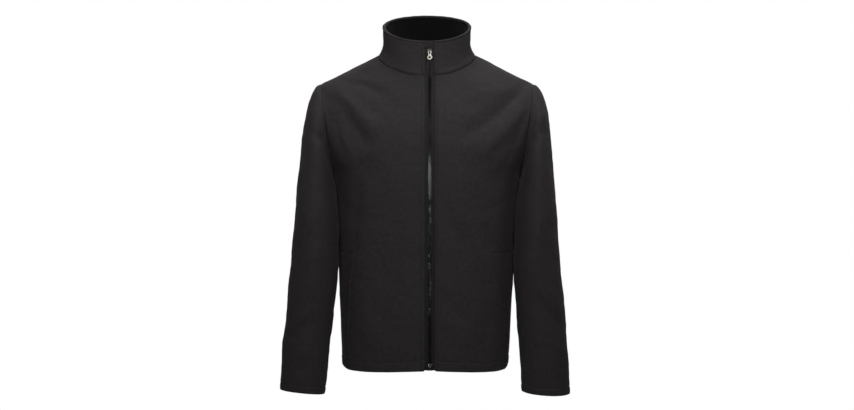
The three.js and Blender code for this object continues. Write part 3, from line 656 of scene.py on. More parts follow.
def panel(name, base, outward, lift, away, thickness, uv, **options):
    """A cloth wall whose surface and distances from its edges are kept for the stitches."""
    piece = cloth(name, base, outward, lift, thickness, uv, **options)
    SURFACES[name] = {"points": base + outward * lift[..., None], "normals": outward, "away": away}
    return piece


# %% [markdown]
# ## Stitches
# A lockstitch shows as a row of short threads that dive into the cloth at both ends. One thread is a
# five-sided spindle, and a whole line of them is one mesh, because hundreds of stitches share a form.

# %% Stitches along a line
STITCH = {"pitch": 3.2, "length": 2.7, "thick": 0.34, "rise": 0.12}
STITCH_RINGS = table(
    "at size drop",
    (-0.5, 0.25, -0.5),
    (-0.3, 0.9, -0.05),
    (0, 1, 0.1),
    (0.3, 0.9, -0.05),
    (0.5, 0.25, -0.5),
)
STITCH_SIDES = 5


def select_only(piece):
    bpy.ops.object.select_all(action="DESELECT")
    bpy.context.view_layer.objects.active = piece
    piece.select_set(True)


def edit_all(piece, *operations):
    """Runs edit-mode operations on the whole of a piece. Each is an operator and its settings."""
    select_only(piece)
    bpy.ops.object.mode_set(mode="EDIT")
    for operator, settings in operations:
        bpy.ops.mesh.select_all(action="SELECT")
        operator(**settings)
    bpy.ops.object.mode_set(mode="OBJECT")


FACE_OUTWARDS = (bpy.ops.mesh.normals_make_consistent, {"inside": False})


def stitches(name, lines):
    """Threads along lines. A line is its points and its outward normals."""
    turn = np.linspace(0, 2 * math.pi, STITCH_SIDES, endpoint=False)[:, None]
    threads = []
    for points, normals in lines:
        run = run_along(points)
        middles = np.arange(STITCH["pitch"], run[-1] - STITCH["pitch"], STITCH["pitch"])

        def at(values, where):
            return np.stack([np.interp(where, run, values[:, k]) for k in range(3)], axis=1)

        out = unit(at(normals, middles))
        direction = unit(at(points, middles + 1) - at(points, middles - 1))
        ring = np.cos(turn) * np.cross(direction, out)[:, None] + np.sin(turn) * out[:, None]
        rings = []
        for place, size, drop in zip(*STITCH_RINGS.values()):
            middle = at(points, middles + place * STITCH["length"]) + out * (STITCH["rise"] + drop)
            rings.append(middle[:, None] + ring * STITCH["thick"] * size)
        threads.append(np.stack(rings, axis=1))
    vertices = np.vstack(threads)
    numbers = np.arange(vertices[..., 0].size).reshape(vertices.shape[:3])
    near, far = numbers[:, :-1], numbers[:, 1:]
    quads = np.stack([near, np.roll(near, -1, axis=2), np.roll(far, -1, axis=2), far], axis=-1)
    piece = make_mesh(name, vertices.reshape(-1, 3), quads.reshape(-1, 4))
    edit_all(piece, (bpy.ops.mesh.fill_holes, {"sides": STITCH_SIDES}), FACE_OUTWARDS)
    print(f"{name}: {len(vertices)} stitches")
    return piece


# %% [markdown]
# ## Distances from seams
# Every seam, edge and stitch line is a line of points on the smooth cloth. The relief beside it depends
# only on how far a point lies from that line, so one function serves them all.


# %% Distance from a line of points
def distance_to(line, points):
    flat = points.reshape(-1, 3)
    nearest = np.full(len(flat), np.inf)
    for start, end in zip(line[:-1], line[1:]):
        way = end - start
        share = np.clip((flat - start) @ way / max(way @ way, NOTHING), 0, 1)
        gap = np.linalg.norm(flat - start - share[:, None] * way, axis=1)
        nearest = np.minimum(nearest, gap)
    return nearest.reshape(points.shape[:-1])


# %% [markdown]
# ## The two fronts
# Each front runs from the zip to the side seam. Below the waist it stops at the slanted pocket mouth,
# where the side piece lies behind it. Both parts are one grid, so the cloth is one piece, and the grid's
# faces behind the mouth are left out. The mouth's edge stands off a little, as a used pocket does.

# %% Rows and columns of the body
ROW_STEP = 4.4
UNDERARM_H = 440
SIDE_PIECE_TOP = SIDE_PIECE_TOP_Z - HEM_Z
KINK_REACH = 70
LOW_ROWS = spread(SIDE_PIECE_TOP, ROW_STEP, close=(0, HEM_DEPTH, SIDE_PIECE_TOP))
HIGH = FRONT_ROWS["h"][-1] - SIDE_PIECE_TOP - SEAM_GAP
HIGH_ROWS = SIDE_PIECE_TOP + SEAM_GAP + spread(HIGH, ROW_STEP, close=(0, HIGH))
FRONT_GRID = np.concatenate([LOW_ROWS, HIGH_ROWS])
BACK_TOP = BACK_ROWS["h"][-1]
BACK_GRID = spread(BACK_TOP, ROW_STEP, close=(0, HEM_DEPTH, BACK_TOP))
BY_ZIP = beside(0, 0.4, 0.9, 1.5, 2.3, 3.3, 4.2, 5.1, 6, 6.9, 7.8, 8.7, 9.8, 11.5, 14.5)
BY_MOUTH = beside(0, 0.4, 0.9, 1.5, 2.3, 3.4, 4.6, 5.4, 6.2, 7.2, 9, 12)
BY_SEAM = beside(0, 0.8, 1.7, 2.8, 4.2, 6, 8.6)
COLUMNS = {"zip to mouth": 34, "mouth to side": 12, "side piece": 8, "half back": 52}
ZIP_STITCH = {-1: 7.8, 1: 5.6}
ZIP_STITCH_DEEP = 1.2
MOUTH_STITCH = 5.4
MOUTH_SHARE_TOP = 0.78
MOUTH_GAPE = table(
    "z right left",
    (-640, 0, 0),
    (-585, 0.4, 0.6),
    (-530, 0.8, 1.2),
    (-480, 0.4, 0.6),
    (-455, 0, 0),
)
GAPE_REACH = 30
CORNER = 4
FOLD_EDGE = {"side": 0.14, "shoulder": 0.1}
SKIN = {"long": 105, "low": 0.55, "short": 34, "fine": 0.16, "fade": 14}
IN_BODY = np.array([0, 0, -300.0])
TINY = 1e-6


def share_at_x(controls, x):
    """The share of each row at which it reaches a distance from the centre plane."""
    share = np.linspace(0, 1, SAMPLES)
    path = np.abs(on_rows(controls, np.tile(share, (len(x), 1)))[:, :, 0])
    return np.array([np.interp(at, row, share) for at, row in zip(x, path)])


def share_of(places):
    """Places along each row as shares of the row's length."""
    return places / places[:, -1:]


def evened(points, face, heights, width=6):
    """Rows evened out where the table of rows bends, and left alone at the panel's edges."""
    rows = FRONT_ROWS if face < 0 else BACK_ROWS
    where = sum(1 - smooth(np.abs(heights - at) / KINK_REACH) for at in rows["h"][1:3])
    count = np.arange(points.shape[1])
    return soften(points, heights, smooth(np.minimum(count, count[::-1]) / width), where)


def skin(points, away):
    """The cloth's own slight unevenness, faded out at seams so that neighbouring pieces meet."""
    long = waves(points, 11, SKIN["long"], SKIN["low"])
    return smooth(away / SKIN["fade"]) * (long + waves(points, 12, SKIN["short"], SKIN["fine"]))


def shaped(points, face, share, v, away):
    """Lays the folds and the slight unevenness into half of the smooth body."""
    outward = normals_of(points, IN_BODY)
    folds = FRONT_FOLDS if face < 0 else BACK_FOLDS
    edge = smooth((1 - share) / FOLD_EDGE["side"]) * smooth((1 - v[:, None]) / FOLD_EDGE["shoulder"])
    height = edge * fold_height(folds, points[..., 0], points[..., 2])
    return points + outward * (height + skin(points, away))[..., None]


def front(side):
    """One front: its cloth wall, and its outer surface for the stitches."""
    name = f"front_{side_name(side)}_cloth"
    v = straight(FRONT_ROWS, "h", "v", FRONT_GRID)
    low = len(LOW_ROWS)
    controls = body_rows(-1, side, v)
    z = np.minimum(controls[0][:, 2], SIDE_PIECE_TOP_Z)
    share = share_at_x(controls, along(POCKET_LINE, "z", side_name(side), z) - SEAM_GAP / 2)
    above = smooth((FRONT_GRID - SIDE_PIECE_TOP) / (UNDERARM_H - SIDE_PIECE_TOP))
    mouth = mix(np.where(above > 0, share[low - 1], share), MOUTH_SHARE_TOP, above)
    inner, from_zip = patch(controls, 0 * v, mouth, BY_ZIP, BY_MOUTH, COLUMNS["zip to mouth"])
    outer, past_mouth = patch(controls, mouth, 0 * v + 1, beside(0), BY_SEAM, COLUMNS["mouth to side"])
    points = np.hstack([inner, outer[:, 1:]])
    places = np.hstack([from_zip, from_zip[:, -1:] + past_mouth[:, 1:]])
    corner = np.sqrt(CORNER**2 - np.clip(CORNER - places, 0, CORNER) ** 2)
    points[..., 2] += (CORNER - corner) * (1 - smooth(FRONT_GRID / (3 * CORNER)))[:, None]
    points = evened(points, -1, FRONT_GRID)
    columns = points.shape[1]
    at_mouth = inner.shape[1] - 1
    neck = v >= FRONT_ROWS["v"][2] - TINY
    lines = {
        "zip": points[~neck, 0],
        "neck": points[neck, 0],
        "shoulder": points[-1],
        "armhole": points[v >= UNDERARM_V - TINY, -1],
        "side": points[low:, -1][FRONT_GRID[low:] <= UNDERARM_H],
        "waist": points[low, at_mouth:],
        "mouth": points[:low, at_mouth],
        "hem": points[0, : at_mouth + 1],
    }
    away = {key: distance_to(line, points) for key, line in lines.items()}
    seam_keys = ("neck", "shoulder", "armhole", "side")
    nearest = np.minimum.reduce([away[key] for key in seam_keys])
    base = shaped(points, -1, share_of(places), v, nearest)
    outward = normals_of(base, IN_BODY)
    gape = straight(MOUTH_GAPE, "z", side_name(side), points[..., 2])
    gape = gape * (1 - smooth(away["mouth"] / GAPE_REACH)) * (np.arange(columns) <= at_mouth)
    base = base + outward * gape[..., None]
    height = run_along(base)
    lift, thickness, turned = turned_edge(away["hem"], HEM_DEPTH, places, 23)
    lift += sum(seam_groove(away[key], SEAM_DEEP.get(key, 1)) for key in seam_keys + ("waist",))
    lift += rolled(away["zip"]) + stitched(away["zip"], ZIP_STITCH[side], height, 21, ZIP_STITCH_DEEP)
    lift += rolled(away["mouth"]) + stitched(away["mouth"], MOUTH_STITCH, height, 22)
    keep = np.ones((len(v) - 1, columns - 1), bool)
    keep[:low, at_mouth:] = False
    uv = np.stack([places, height], axis=-1)
    piece = panel(name, base, outward, lift, away, thickness, uv, keep=keep, turned=turned)
    SURFACES[name].update(low=low, mouth=at_mouth, neck=neck)
    return piece


FRONT = {side: front(side) for side in (-1, 1)}


# %% [markdown]
# ## The side pieces
# Behind each pocket mouth lies a side piece, a step deeper than the front. It reaches up to a short seam
# at the waist, and its hem runs on from the front's hem.


# %% Build the side pieces
MOUTH_STEP = 1.2
MOUTH_STEP_REACH = 22


def side_piece(side):
    name = f"side_piece_{side_name(side)}_cloth"
    v = straight(FRONT_ROWS, "h", "v", LOW_ROWS)
    controls = body_rows(-1, side, v)
    line = along(POCKET_LINE, "z", side_name(side), controls[0][:, 2]) + SEAM_GAP / 2
    mouth = share_at_x(controls, line)
    points, places = patch(controls, mouth, 0 * v + 1, BY_SEAM, BY_SEAM, COLUMNS["side piece"])
    lines = {"mouth": points[:, 0], "side": points[:, -1], "waist": points[-1], "hem": points[0]}
    away = {key: distance_to(line, points) for key, line in lines.items()}
    base = shaped(points, -1, mix(mouth[:, None], 1, share_of(places)), v, away["side"])
    outward = normals_of(base, IN_BODY)
    step = MOUTH_STEP * (1 - smooth(away["mouth"] / MOUTH_STEP_REACH))
    base = base - outward * (step * smooth((LOW_ROWS / HEM_DEPTH)[:, None]))[..., None]
    lift, thickness, turned = turned_edge(away["hem"], HEM_DEPTH, places, 24)
    lift += sum(seam_groove(away[key], SEAM_DEEP[key]) for key in ("side", "waist"))
    uv = np.stack([places, run_along(base)], axis=-1)
    return panel(name, base, outward, lift, away, thickness, uv, turned=turned)


SIDE_PIECE = {side: side_piece(side) for side in (-1, 1)}

# %% [markdown]
# ## The back
# The back is one piece from side seam to side seam. It is drawn as two halves that share the centre line
# up to the neck seam and part there.


# %% Build the back
def back_panel():
    v = straight(BACK_ROWS, "h", "v", BACK_GRID)
    halves = []
    for side in (-1, 1):
        controls = body_rows(1, side, v)
        points, places = patch(controls, 0 * v, 0 * v + 1, BY_SEAM, BY_SEAM, COLUMNS["half back"])
        halves.append((evened(points, 1, BACK_GRID), places, share_of(places)))
    (right, right_places, right_share), (left, left_places, left_share) = halves
    half = right.shape[1]
    points = np.hstack([right[:, ::-1], left])
    places = np.hstack([-right_places[:, ::-1], left_places])
    neck = v >= BACK_ROWS["v"][2] - TINY
    arm = v >= UNDERARM_V - TINY
    seams = (
        points[neck, half - 1],
        points[neck, half],
        points[-1, :half],
        points[-1, half:],
        points[arm, 0],
        points[arm, -1],
        points[~arm, 0],
        points[~arm, -1],
    )
    from_seams = [distance_to(line, points) for line in seams]
    away = {"hem": distance_to(points[0], points)}
    share = np.hstack([right_share[:, ::-1], left_share])
    base = shaped(points, 1, share, v, np.minimum.reduce(from_seams))
    outward = normals_of(base, IN_BODY)
    lift, thickness, turned = turned_edge(away["hem"], HEM_DEPTH, places, 25)
    lift += sum(seam_groove(distance) for distance in from_seams)
    number = np.arange(points[..., 0].size).reshape(points.shape[:2])
    number[BACK_GRID <= BACK_ROWS["h"][2] + TINY, half] -= 1
    keep = np.ones((len(v) - 1, points.shape[1] - 1), bool)
    keep[:, half - 1] = False
    uv = np.stack([places, run_along(base)], axis=-1)
    options = {"keep": keep, "turned": turned, "number": number}
    return panel("back_cloth", base, outward, lift, away, thickness, uv, **options)


BACK = back_panel()

# %% [markdown]
# ## The sleeves
# A sleeve is a tube of ellipses. Its cap leans over the shoulder, its underarm seam runs down the inner
# side, and the cuff is turned up and stitched. It bends forward a little at the elbow, where the cloth
# gathers in soft creases on the inner side.

# %% Build the sleeves
SLEEVE_AROUND = 420
SLEEVE_STEP = 3.9
INNER_ARM = {"from": 0.72, "over": 0.2}
SLEEVE_ENDS = {"armhole": 0.12, "cuff": 0.08}
FLANK = {"from": 0.1, "over": 0.5}
UNDERARM_SEAM = 0.6
IN_SLEEVE = np.array([270, 0, -450.0])
# Places round a sleeve, as shares from its top: the middle of its front, and its underarm seam.
FRONT_U = 0.25
UNDERARM_U = 0.5


def sleeve_points(side, u, v):
    def value(column):
        return along(SLEEVE, "t", column, v)[:, None]

    up = (1 + np.cos(2 * math.pi * u)) / 2
    toward_front = np.sin(2 * math.pi * u)
    across = mix(value("in_" + side_name(side)), value("out_" + side_name(side)), up) + SEAM_GAP / 2
    y = value("mid_y") - value("half") * toward_front
    level = CUFF_LEVEL[side_name(side)]
    tilt = mix(level["inner"], level["outer"], up) + level["front"] * np.maximum(toward_front, 0)
    near_cuff = smooth((v - CUFF_LEVEL["from"]) / (1 - CUFF_LEVEL["from"]))[:, None]
    return vectors(side * across, y, mix(value("in_z"), value("out_z"), up) + tilt * near_cuff)


def sleeve(side):
    name = f"sleeve_{side_name(side)}_cloth"
    u = spread(SLEEVE_AROUND, SLEEVE_STEP, close=(SLEEVE_AROUND / 2,))[:-1] / SLEEVE_AROUND
    fine = np.linspace(0, 1, SAMPLES)
    run = run_along(sleeve_points(side, np.array([FRONT_U]), fine)[:, 0])
    places = spread(run[-1], SLEEVE_STEP, close=(0, run[-1] - CUFF_DEPTH, run[-1]))
    v = np.interp(places, run, fine)
    points = sleeve_points(side, u, v)
    closed = np.hstack([points, points[:, :1]])
    inside = IN_SLEEVE * [side, 1, 1]
    outward = normals_of(points, inside, wrap=True)
    underarm = sleeve_points(side, np.array([UNDERARM_U]), v)[:, 0]
    lines = {"armhole": closed[0], "cuff": closed[-1], "underarm": underarm}
    away = {key: distance_to(line, points) for key, line in lines.items()}
    folds = LEFT_ARM_FOLDS if side > 0 else RIGHT_ARM_FOLDS
    from_top = np.abs((u + 0.5) % 1 - 0.5) * 2
    outer_side = 1 - smooth((from_top - INNER_ARM["from"]) / INNER_ARM["over"])
    ends = smooth(v / SLEEVE_ENDS["armhole"]) * smooth((1 - v) / SLEEVE_ENDS["cuff"])
    facing = smooth((np.abs(outward[..., 1]) - FLANK["from"]) / FLANK["over"])
    shown = ends[:, None] * outer_side * facing
    height = shown * fold_height(folds, np.abs(points[..., 0]), points[..., 2])
    base = points + outward * (height + skin(points, away["armhole"]))[..., None]
    outward = normals_of(base, inside, wrap=True)
    around = np.tile(np.concatenate([u, [1.0]]) * SLEEVE_AROUND, (len(v), 1))
    lift, thickness, turned = turned_edge(away["cuff"], CUFF_DEPTH, around[:, :-1], 26)
    lift += seam_groove(away["armhole"], SEAM_DEEP["armhole"])
    lift += seam_groove(away["underarm"], UNDERARM_SEAM)
    rows_up = run_along(base)
    uv = np.stack([around, np.hstack([rows_up, rows_up[:, :1]])], axis=-1)
    return panel(name, base, outward, lift, away, thickness, uv, wrap=True, turned=turned)


SLEEVES = {side: sleeve(side) for side in (-1, 1)}

# %% [markdown]
# ## The stand collar
# The outer collar folds over its own top edge and is sewn down inside, so its rim is round and soft. The
# lining of the collar starts under that edge. The collar flares in quickly at the sides of the neck and
# stands nearly straight at the front and the back.

# %% Sizes of the collar
FOLD_ROUND = 2.6
FOLD_INSIDE = 3.4
FOLD_STEPS = 8
RIM_STITCH = 7.6
RIM_PULL = {"deep": 1.3, "full": 1.1}
COLLAR_WALL = CLOTH - 0.1
COLLAR_STEP = 4
COLLAR_ROW = 3.4
COLLAR_AROUND = 640
COLLAR_SEAM = 1.5
LINING_FOOT = 0.08
LINING_ROW = 4.4
LINING_DEPTH = CLOTH + 2 * SEAM_GAP
LINING_STITCH = 3.2
OFF_TAPE = 2
FOLD_LEG = beside(1.2, 2.3, FOLD_INSIDE)
LIP = 1.2
NEAR_DEGREES = 0.2
NEAR_SHARE = 1e-3


def collar_point(degrees, v):
    seam = loop_point(NECK, degrees)
    top = loop_point(RIM, degrees)
    at_side = np.sin(np.radians(degrees)) ** 2
    quick = 1 - (1 - np.minimum(1, v / COLLAR_FLARE)) ** 2
    inward = mix(v, quick, at_side)
    x = mix(seam[..., 0], top[..., 0], inward)
    y = mix(seam[..., 1], top[..., 1], inward)
    return vectors(x, y, mix(seam[..., 2] + SEAM_GAP / 2, top[..., 2], v))


def collar_grid(degrees, v):
    """Points, outward normals and upward directions of the collar's smooth form."""
    degrees, v = degrees[None, :], v[:, None]
    around = collar_point(degrees + NEAR_DEGREES, v) - collar_point(degrees - NEAR_DEGREES, v)
    above = collar_point(degrees, np.minimum(v + NEAR_SHARE, 1))
    up = unit(above - collar_point(degrees, v - NEAR_SHARE))
    return collar_point(degrees, v), unit(np.cross(around, up)), up


def collar_columns(first, last, close):
    length = COLLAR_AROUND * (last - first) / 360
    places = spread(length, COLLAR_STEP, close=(0, close, length - close, length))
    return first + (last - first) * places / length


def collar_height(degrees):
    return np.linalg.norm(collar_point(degrees, 1.0) - collar_point(degrees, 0.0), axis=-1).mean()


def collar():
    degrees = collar_columns(zip_edge_angle(1), 360 - zip_edge_angle(-1), ZIP_STITCH[1])
    tall = collar_height(degrees)
    v = spread(tall - FOLD_ROUND, COLLAR_ROW, close=(0, tall - RIM_STITCH)) / tall
    points, outward, up = collar_grid(degrees, v)
    turn = np.linspace(0, math.pi, FOLD_STEPS + 1)[1:, None, None]
    arch_out = np.cos(turn) * outward[-1] + np.sin(turn) * up[-1]
    arch = points[-1] - outward[-1] * FOLD_ROUND + FOLD_ROUND * arch_out
    leg = arch[-1] - FOLD_LEG[:, None, None] * up[-1]
    base = np.vstack([points, arch, leg])
    out = np.vstack([outward, arch_out, np.broadcast_to(-outward[-1], leg.shape)])
    top = len(v) - 1
    height = run_along(base)
    away = {
        "seam": distance_to(base[0], base),
        "left": distance_to(points[:, 0], base),
        "right": distance_to(points[:, -1], base),
        "rim": np.abs(height - height[top + FOLD_STEPS // 2]),
    }
    row = np.arange(len(base))[:, None]
    base = base + out * (skin(base, away["seam"]) * (1 - smooth((row - top) / 2)))[..., None]
    height = run_along(base)
    run = np.tile(degrees * COLLAR_AROUND / 360, (len(base), 1))
    lift = seam_groove(away["seam"], COLLAR_SEAM) + stitched(away["rim"], RIM_STITCH, run, 27, **RIM_PULL)
    for key, side, seed in (("left", 1, 28), ("right", -1, 29)):
        pulled = stitched(away[key], ZIP_STITCH[side], height, seed, ZIP_STITCH_DEEP)
        lift += rolled(away[key], LIP) + (row <= top) * pulled
    uv = np.stack([run, height], axis=-1)
    thickness = np.full(lift.shape, COLLAR_WALL)
    turned = np.ones(lift.shape, bool)
    piece = panel("collar_cloth", base, out, lift, away, thickness, uv, turned=turned)
    SURFACES["collar_cloth"]["top"] = top
    return piece


COLLAR = collar()


# %% The inner collar
def collar_lining():
    def beside_zip(side):
        return math.degrees(math.asin((TAPE_WIDTH + OFF_TAPE + side * ZIP_X) / RIM["half"]))

    degrees = collar_columns(beside_zip(1), 360 - beside_zip(-1), 0)
    tall = collar_height(degrees)
    length = tall - FOLD_ROUND - FOLD_INSIDE - SEAM_GAP - LINING_FOOT * tall
    v = LINING_FOOT + spread(length, LINING_ROW, close=(length,)) / tall
    points, outward, _ = collar_grid(degrees, v)
    base = points - outward * LINING_DEPTH
    base = base + outward * (skin(base, math.inf) / 2)[..., None]
    away = distance_to(base[-1], base)
    run = np.tile(degrees * COLLAR_AROUND / 360, (len(v), 1))
    thickness = CLOTH + rolled(away, LIP) + stitched(away, LINING_STITCH, run, 30)
    uv = np.stack([run, run_along(base)], axis=-1)
    return cloth("collar_lining_cloth", base, outward, 0 * away, thickness, uv)


COLLAR_LINING = collar_lining()

# %% [markdown]
# ## Finishes
# A softshell's face is a matte woven polyester: it scatters light widely, has a weak sheen at grazing
# angles, and hardly any gloss. Its inside is a brushed fleece. The zip has a woven tape, moulded acetal
# teeth and a nickel-plated slider. Patterns take their scale from real sizes in millimetres.


# %% Helpers for materials
def linear(hex_colour):
    """An sRGB hex colour as linear light."""
    values = [int(hex_colour[k : k + 2], 16) / 255 for k in (1, 3, 5)]
    return [c / 12.92 if c <= 0.04045 else ((c + 0.055) / 1.055) ** 2.4 for c in values] + [1.0]


def add(tree, kind, inputs=None, **settings):
    """Adds a node with its settings, and gives its inputs their values or links."""
    made = tree.nodes.new(kind)
    for key, value in settings.items():
        setattr(made, key, value)
    for key, value in (inputs or {}).items():
        if isinstance(value, bpy.types.NodeSocket):
            tree.links.new(value, made.inputs[key])
        else:
            made.inputs[key].default_value = value
    return made


def two_tones(tree, pattern, low, high, ends):
    """A colour that follows a pattern from one tone to another."""
    ramp = add(tree, "ShaderNodeValToRGB", {"Fac": pattern})
    for element, position, colour in zip(ramp.color_ramp.elements, ends, (low, high)):
        element.position = position
        element.color = linear(colour)
    return ramp.outputs["Color"]


WAVE_SCALE = 0.314


def waves_across(thread, direction, distortion=2.0, detail=2.0):
    """Bands as far apart as threads, in metres."""

    def drawn(tree, place):
        inputs = {"Vector": place, "Scale": WAVE_SCALE / thread, "Distortion": distortion, "Detail": detail}
        return add(tree, "ShaderNodeTexWave", inputs, bands_direction=direction).outputs["Fac"]

    return drawn


def weave(thread):
    """Threads over and under each other, from two sets of bands across the cloth."""

    def drawn(tree, place):
        bands = [waves_across(thread, direction, 0.6, 1.0)(tree, place) for direction in "XY"]
        return add(tree, "ShaderNodeMath", dict(enumerate(bands)), operation="MULTIPLY").outputs[0]

    return drawn


def noise(size, detail=2.0):
    """Uneven patches of about a given size, in metres."""

    def drawn(tree, place):
        inputs = {"Vector": place, "Scale": 1 / size, "Detail": detail}
        return add(tree, "ShaderNodeTexNoise", inputs).outputs["Fac"]

    return drawn


def bumped(tree, shader, layers):
    """Stacks bump layers of (pattern, height in metres) under the shader."""
    inputs = {"Strength": 1.0}
    for pattern, height in layers:
        inputs.update({"Height": pattern, "Distance": height})
        inputs["Normal"] = add(tree, "ShaderNodeBump", inputs).outputs["Normal"]
    tree.links.new(inputs["Normal"], shader.inputs["Normal"])


def material_of(name, source, pattern, tones, settings, layers, ends=(0.3, 0.7), rough=None):
    """A material whose tones follow a pattern drawn in the coordinates of the source. Its layers are
    pairs of a pattern and a height, and rough is a range that follows the first pattern too."""
    material = bpy.data.materials.new(name)
    material.use_nodes = True
    tree = material.node_tree
    tree.nodes.clear()
    shader = add(tree, "ShaderNodeBsdfPrincipled", settings)
    add(tree, "ShaderNodeOutputMaterial", {"Surface": shader.outputs["BSDF"]})
    place = add(tree, "ShaderNodeTexCoord").outputs[source]
    drawn = pattern(tree, place)
    tree.links.new(two_tones(tree, drawn, *tones, ends), shader.inputs["Base Color"])
    if rough:
        worn = add(tree, "ShaderNodeMapRange", {"Value": drawn, "To Min": rough[0], "To Max": rough[1]})
        tree.links.new(worn.outputs["Result"], shader.inputs["Roughness"])
    heights = [(drawn if layer is pattern else layer(tree, place), height) for layer, height in layers]
    bumped(tree, shader, heights)
    return material


def matte(roughness, specular, sheen, sheen_roughness):
    return {
        "Roughness": roughness,
        "Specular IOR Level": specular,
        "Sheen Weight": sheen,
        "Sheen Roughness": sheen_roughness,
    }


# %% Woven polyester face
# Bonded stretch polyester: dull, dense threads that the eye reads as a smooth matte black. The real
# thread spacing of 0.3 mm is too fine to show, so the weave is drawn at 0.9 mm.
mottle = noise(9 * MM, 4.0)
softshell = material_of(
    "woven_polyester_face",
    "UV",
    mottle,
    ("#272325", "#2d292b"),
    matte(0.78, 0.28, 0.12, 0.45) | {"Sheen Tint": linear("#b8b0b4")},
    [(weave(0.9 * MM), 0.05 * MM), (noise(3 * MM), 0.06 * MM), (mottle, 0.12 * MM)],
    ends=(0.35, 0.65),
)

# %% Brushed fleece back
# The inner face is brushed, so its short fibres stand up. They trap light, and it looks deep black.
pile = noise(1.1 * MM, 5.0)
fleece = material_of(
    "brushed_fleece_back",
    "UV",
    pile,
    ("#070606", "#0d0c0c"),
    matte(0.95, 0.1, 0.05, 0.6),
    [(pile, 0.35 * MM), (noise(7 * MM), 0.3 * MM)],
)

# %% Woven zip tape
# The tape is a closely woven polyester herringbone, a little bluer and smoother than the jacket's face.
ribs = weave(0.8 * MM)
zip_tape = material_of(
    "woven_polyester_tape",
    "UV",
    ribs,
    ("#0f0f12", "#1b1b20"),
    matte(0.7, 0.35, 0.15, 0.4),
    [(ribs, 0.12 * MM)],
)

# %% Moulded acetal teeth
# The teeth are injection-moulded acetal: a dark, slick plastic whose small facets catch the light.
grain = noise(0.8 * MM)
teeth = material_of(
    "moulded_acetal",
    "Object",
    grain,
    ("#0d0d11", "#131317"),
    {"Roughness": 0.17, "IOR": 1.48, "Specular IOR Level": 1.0},
    [(grain, 0.01 * MM)],
)

# %% Nickel plate
# The pull tab is a zinc casting, tumbled and nickel plated: a soft grey metal, a little warm, with wear.
wear = noise(2.2 * MM, 4.0)
nickel = material_of(
    "nickel_plated_zinc",
    "Object",
    wear,
    ("#7e7a75", "#a5a19b"),
    {"Metallic": 1.0},
    [(wear, 0.02 * MM)],
    rough=(0.34, 0.46),
)

# %% Black enamel
# The slider's body is the same zinc casting under a stoved black enamel, smooth and half glossy.
flow = noise(1.6 * MM, 3.0)
enamel = material_of(
    "black_enamelled_zinc",
    "Object",
    flow,
    ("#0b0b0d", "#121215"),
    {"Roughness": 0.42, "IOR": 1.5, "Specular IOR Level": 0.4},
    [(flow, 0.015 * MM)],
)

# %% Spun polyester thread
# The sewing thread is spun polyester, dyed to the cloth, and slightly glossier than it.
twist = waves_across(0.7 * MM, "DIAGONAL")
thread = material_of(
    "spun_polyester_thread",
    "Object",
    twist,
    ("#262425", "#383536"),
    {"Roughness": 0.55, "Specular IOR Level": 0.4, "Sheen Weight": 0.1},
    [(twist, 0.05 * MM)],
)


# %% Give a piece its finish
def finish_with(piece, *materials):
    piece.data.materials.clear()
    for material in materials:
        piece.data.materials.append(material)


def dress(piece, node, slot, *materials, body="garment"):
    """Gives a piece its materials, hides the solid that it replaces and puts it on the body that it rides
    on. The slot is not used.
    """
    finish_with(piece, *materials)
    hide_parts(node)
    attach(piece, body)


# The pieces of cloth, and the size that each was cut to: its width and length, and its area, in metres.
CUT = {
    "front_right": (FRONT[-1], (0.30, 0.76), 0.165),
    "front_left": (FRONT[1], (0.29, 0.76), 0.156),
    "side_piece_right": (SIDE_PIECE[-1], (0.12, 0.29), 0.018),
    "side_piece_left": (SIDE_PIECE[1], (0.14, 0.29), 0.020),
    "back_panel": (BACK, (0.58, 0.86), 0.373),
    "sleeve_right": (SLEEVES[-1], (0.56, 0.75), 0.227),
    "sleeve_left": (SLEEVES[1], (0.56, 0.75), 0.228),
    "collar": (COLLAR, (0.68, 0.10), 0.048),
    "collar_lining": (COLLAR_LINING, (0.62, 0.085), 0.036),
}
for node_name, (piece, size, area) in CUT.items():
    lining = node_name == "collar_lining"
    dress(piece, node_name, "fleece" if lining else "softshell", fleece if lining else softshell, fleece)

# %% [markdown]
# ## The zip
# A moulded zip has two woven tapes, each with a row of teeth that lock into the other row. The teeth are
# one small shape, copied in a staggered row down both tapes. The line of the zip follows the centre
# front, so each part is placed by its height on that line.

# %% The line of the zip
TAPE = {"thick": 1, "columns": 22, "rows": 240, "bead_at": 2.2, "bead_half": 1.5, "bead": 0.5}
RIB = {"pitch": 1.3, "height": 0.07, "edge": 0.6, "sunk": 0.1}
TOOTH_PITCH = 3.2
BOX = {"width": 12, "height": 15, "thick": 4, "round": 0.4}


def centre_front(z):
    low = along(CENTRE_FRONT, "z", "y", np.minimum(z, NECK_FRONT_Z))
    share = (z - NECK_FRONT_Z) / (RIM["z"][0] - NECK_FRONT_Z)
    return np.where(z <= NECK_FRONT_Z, low, mix(NECK["y"][0], RIM["y"][0], share))


def out_of_front(z):
    slope = (centre_front(z + 1) - centre_front(z - 1)) / 2
    return unit(vectors(0, -1, slope))


def on_zip(x, z, depth):
    """Points at distances from the centre plane, at heights on the zip, and at depths behind its line."""
    return vectors(x, centre_front(z), z) - out_of_front(z) * np.asarray(depth)[..., None]


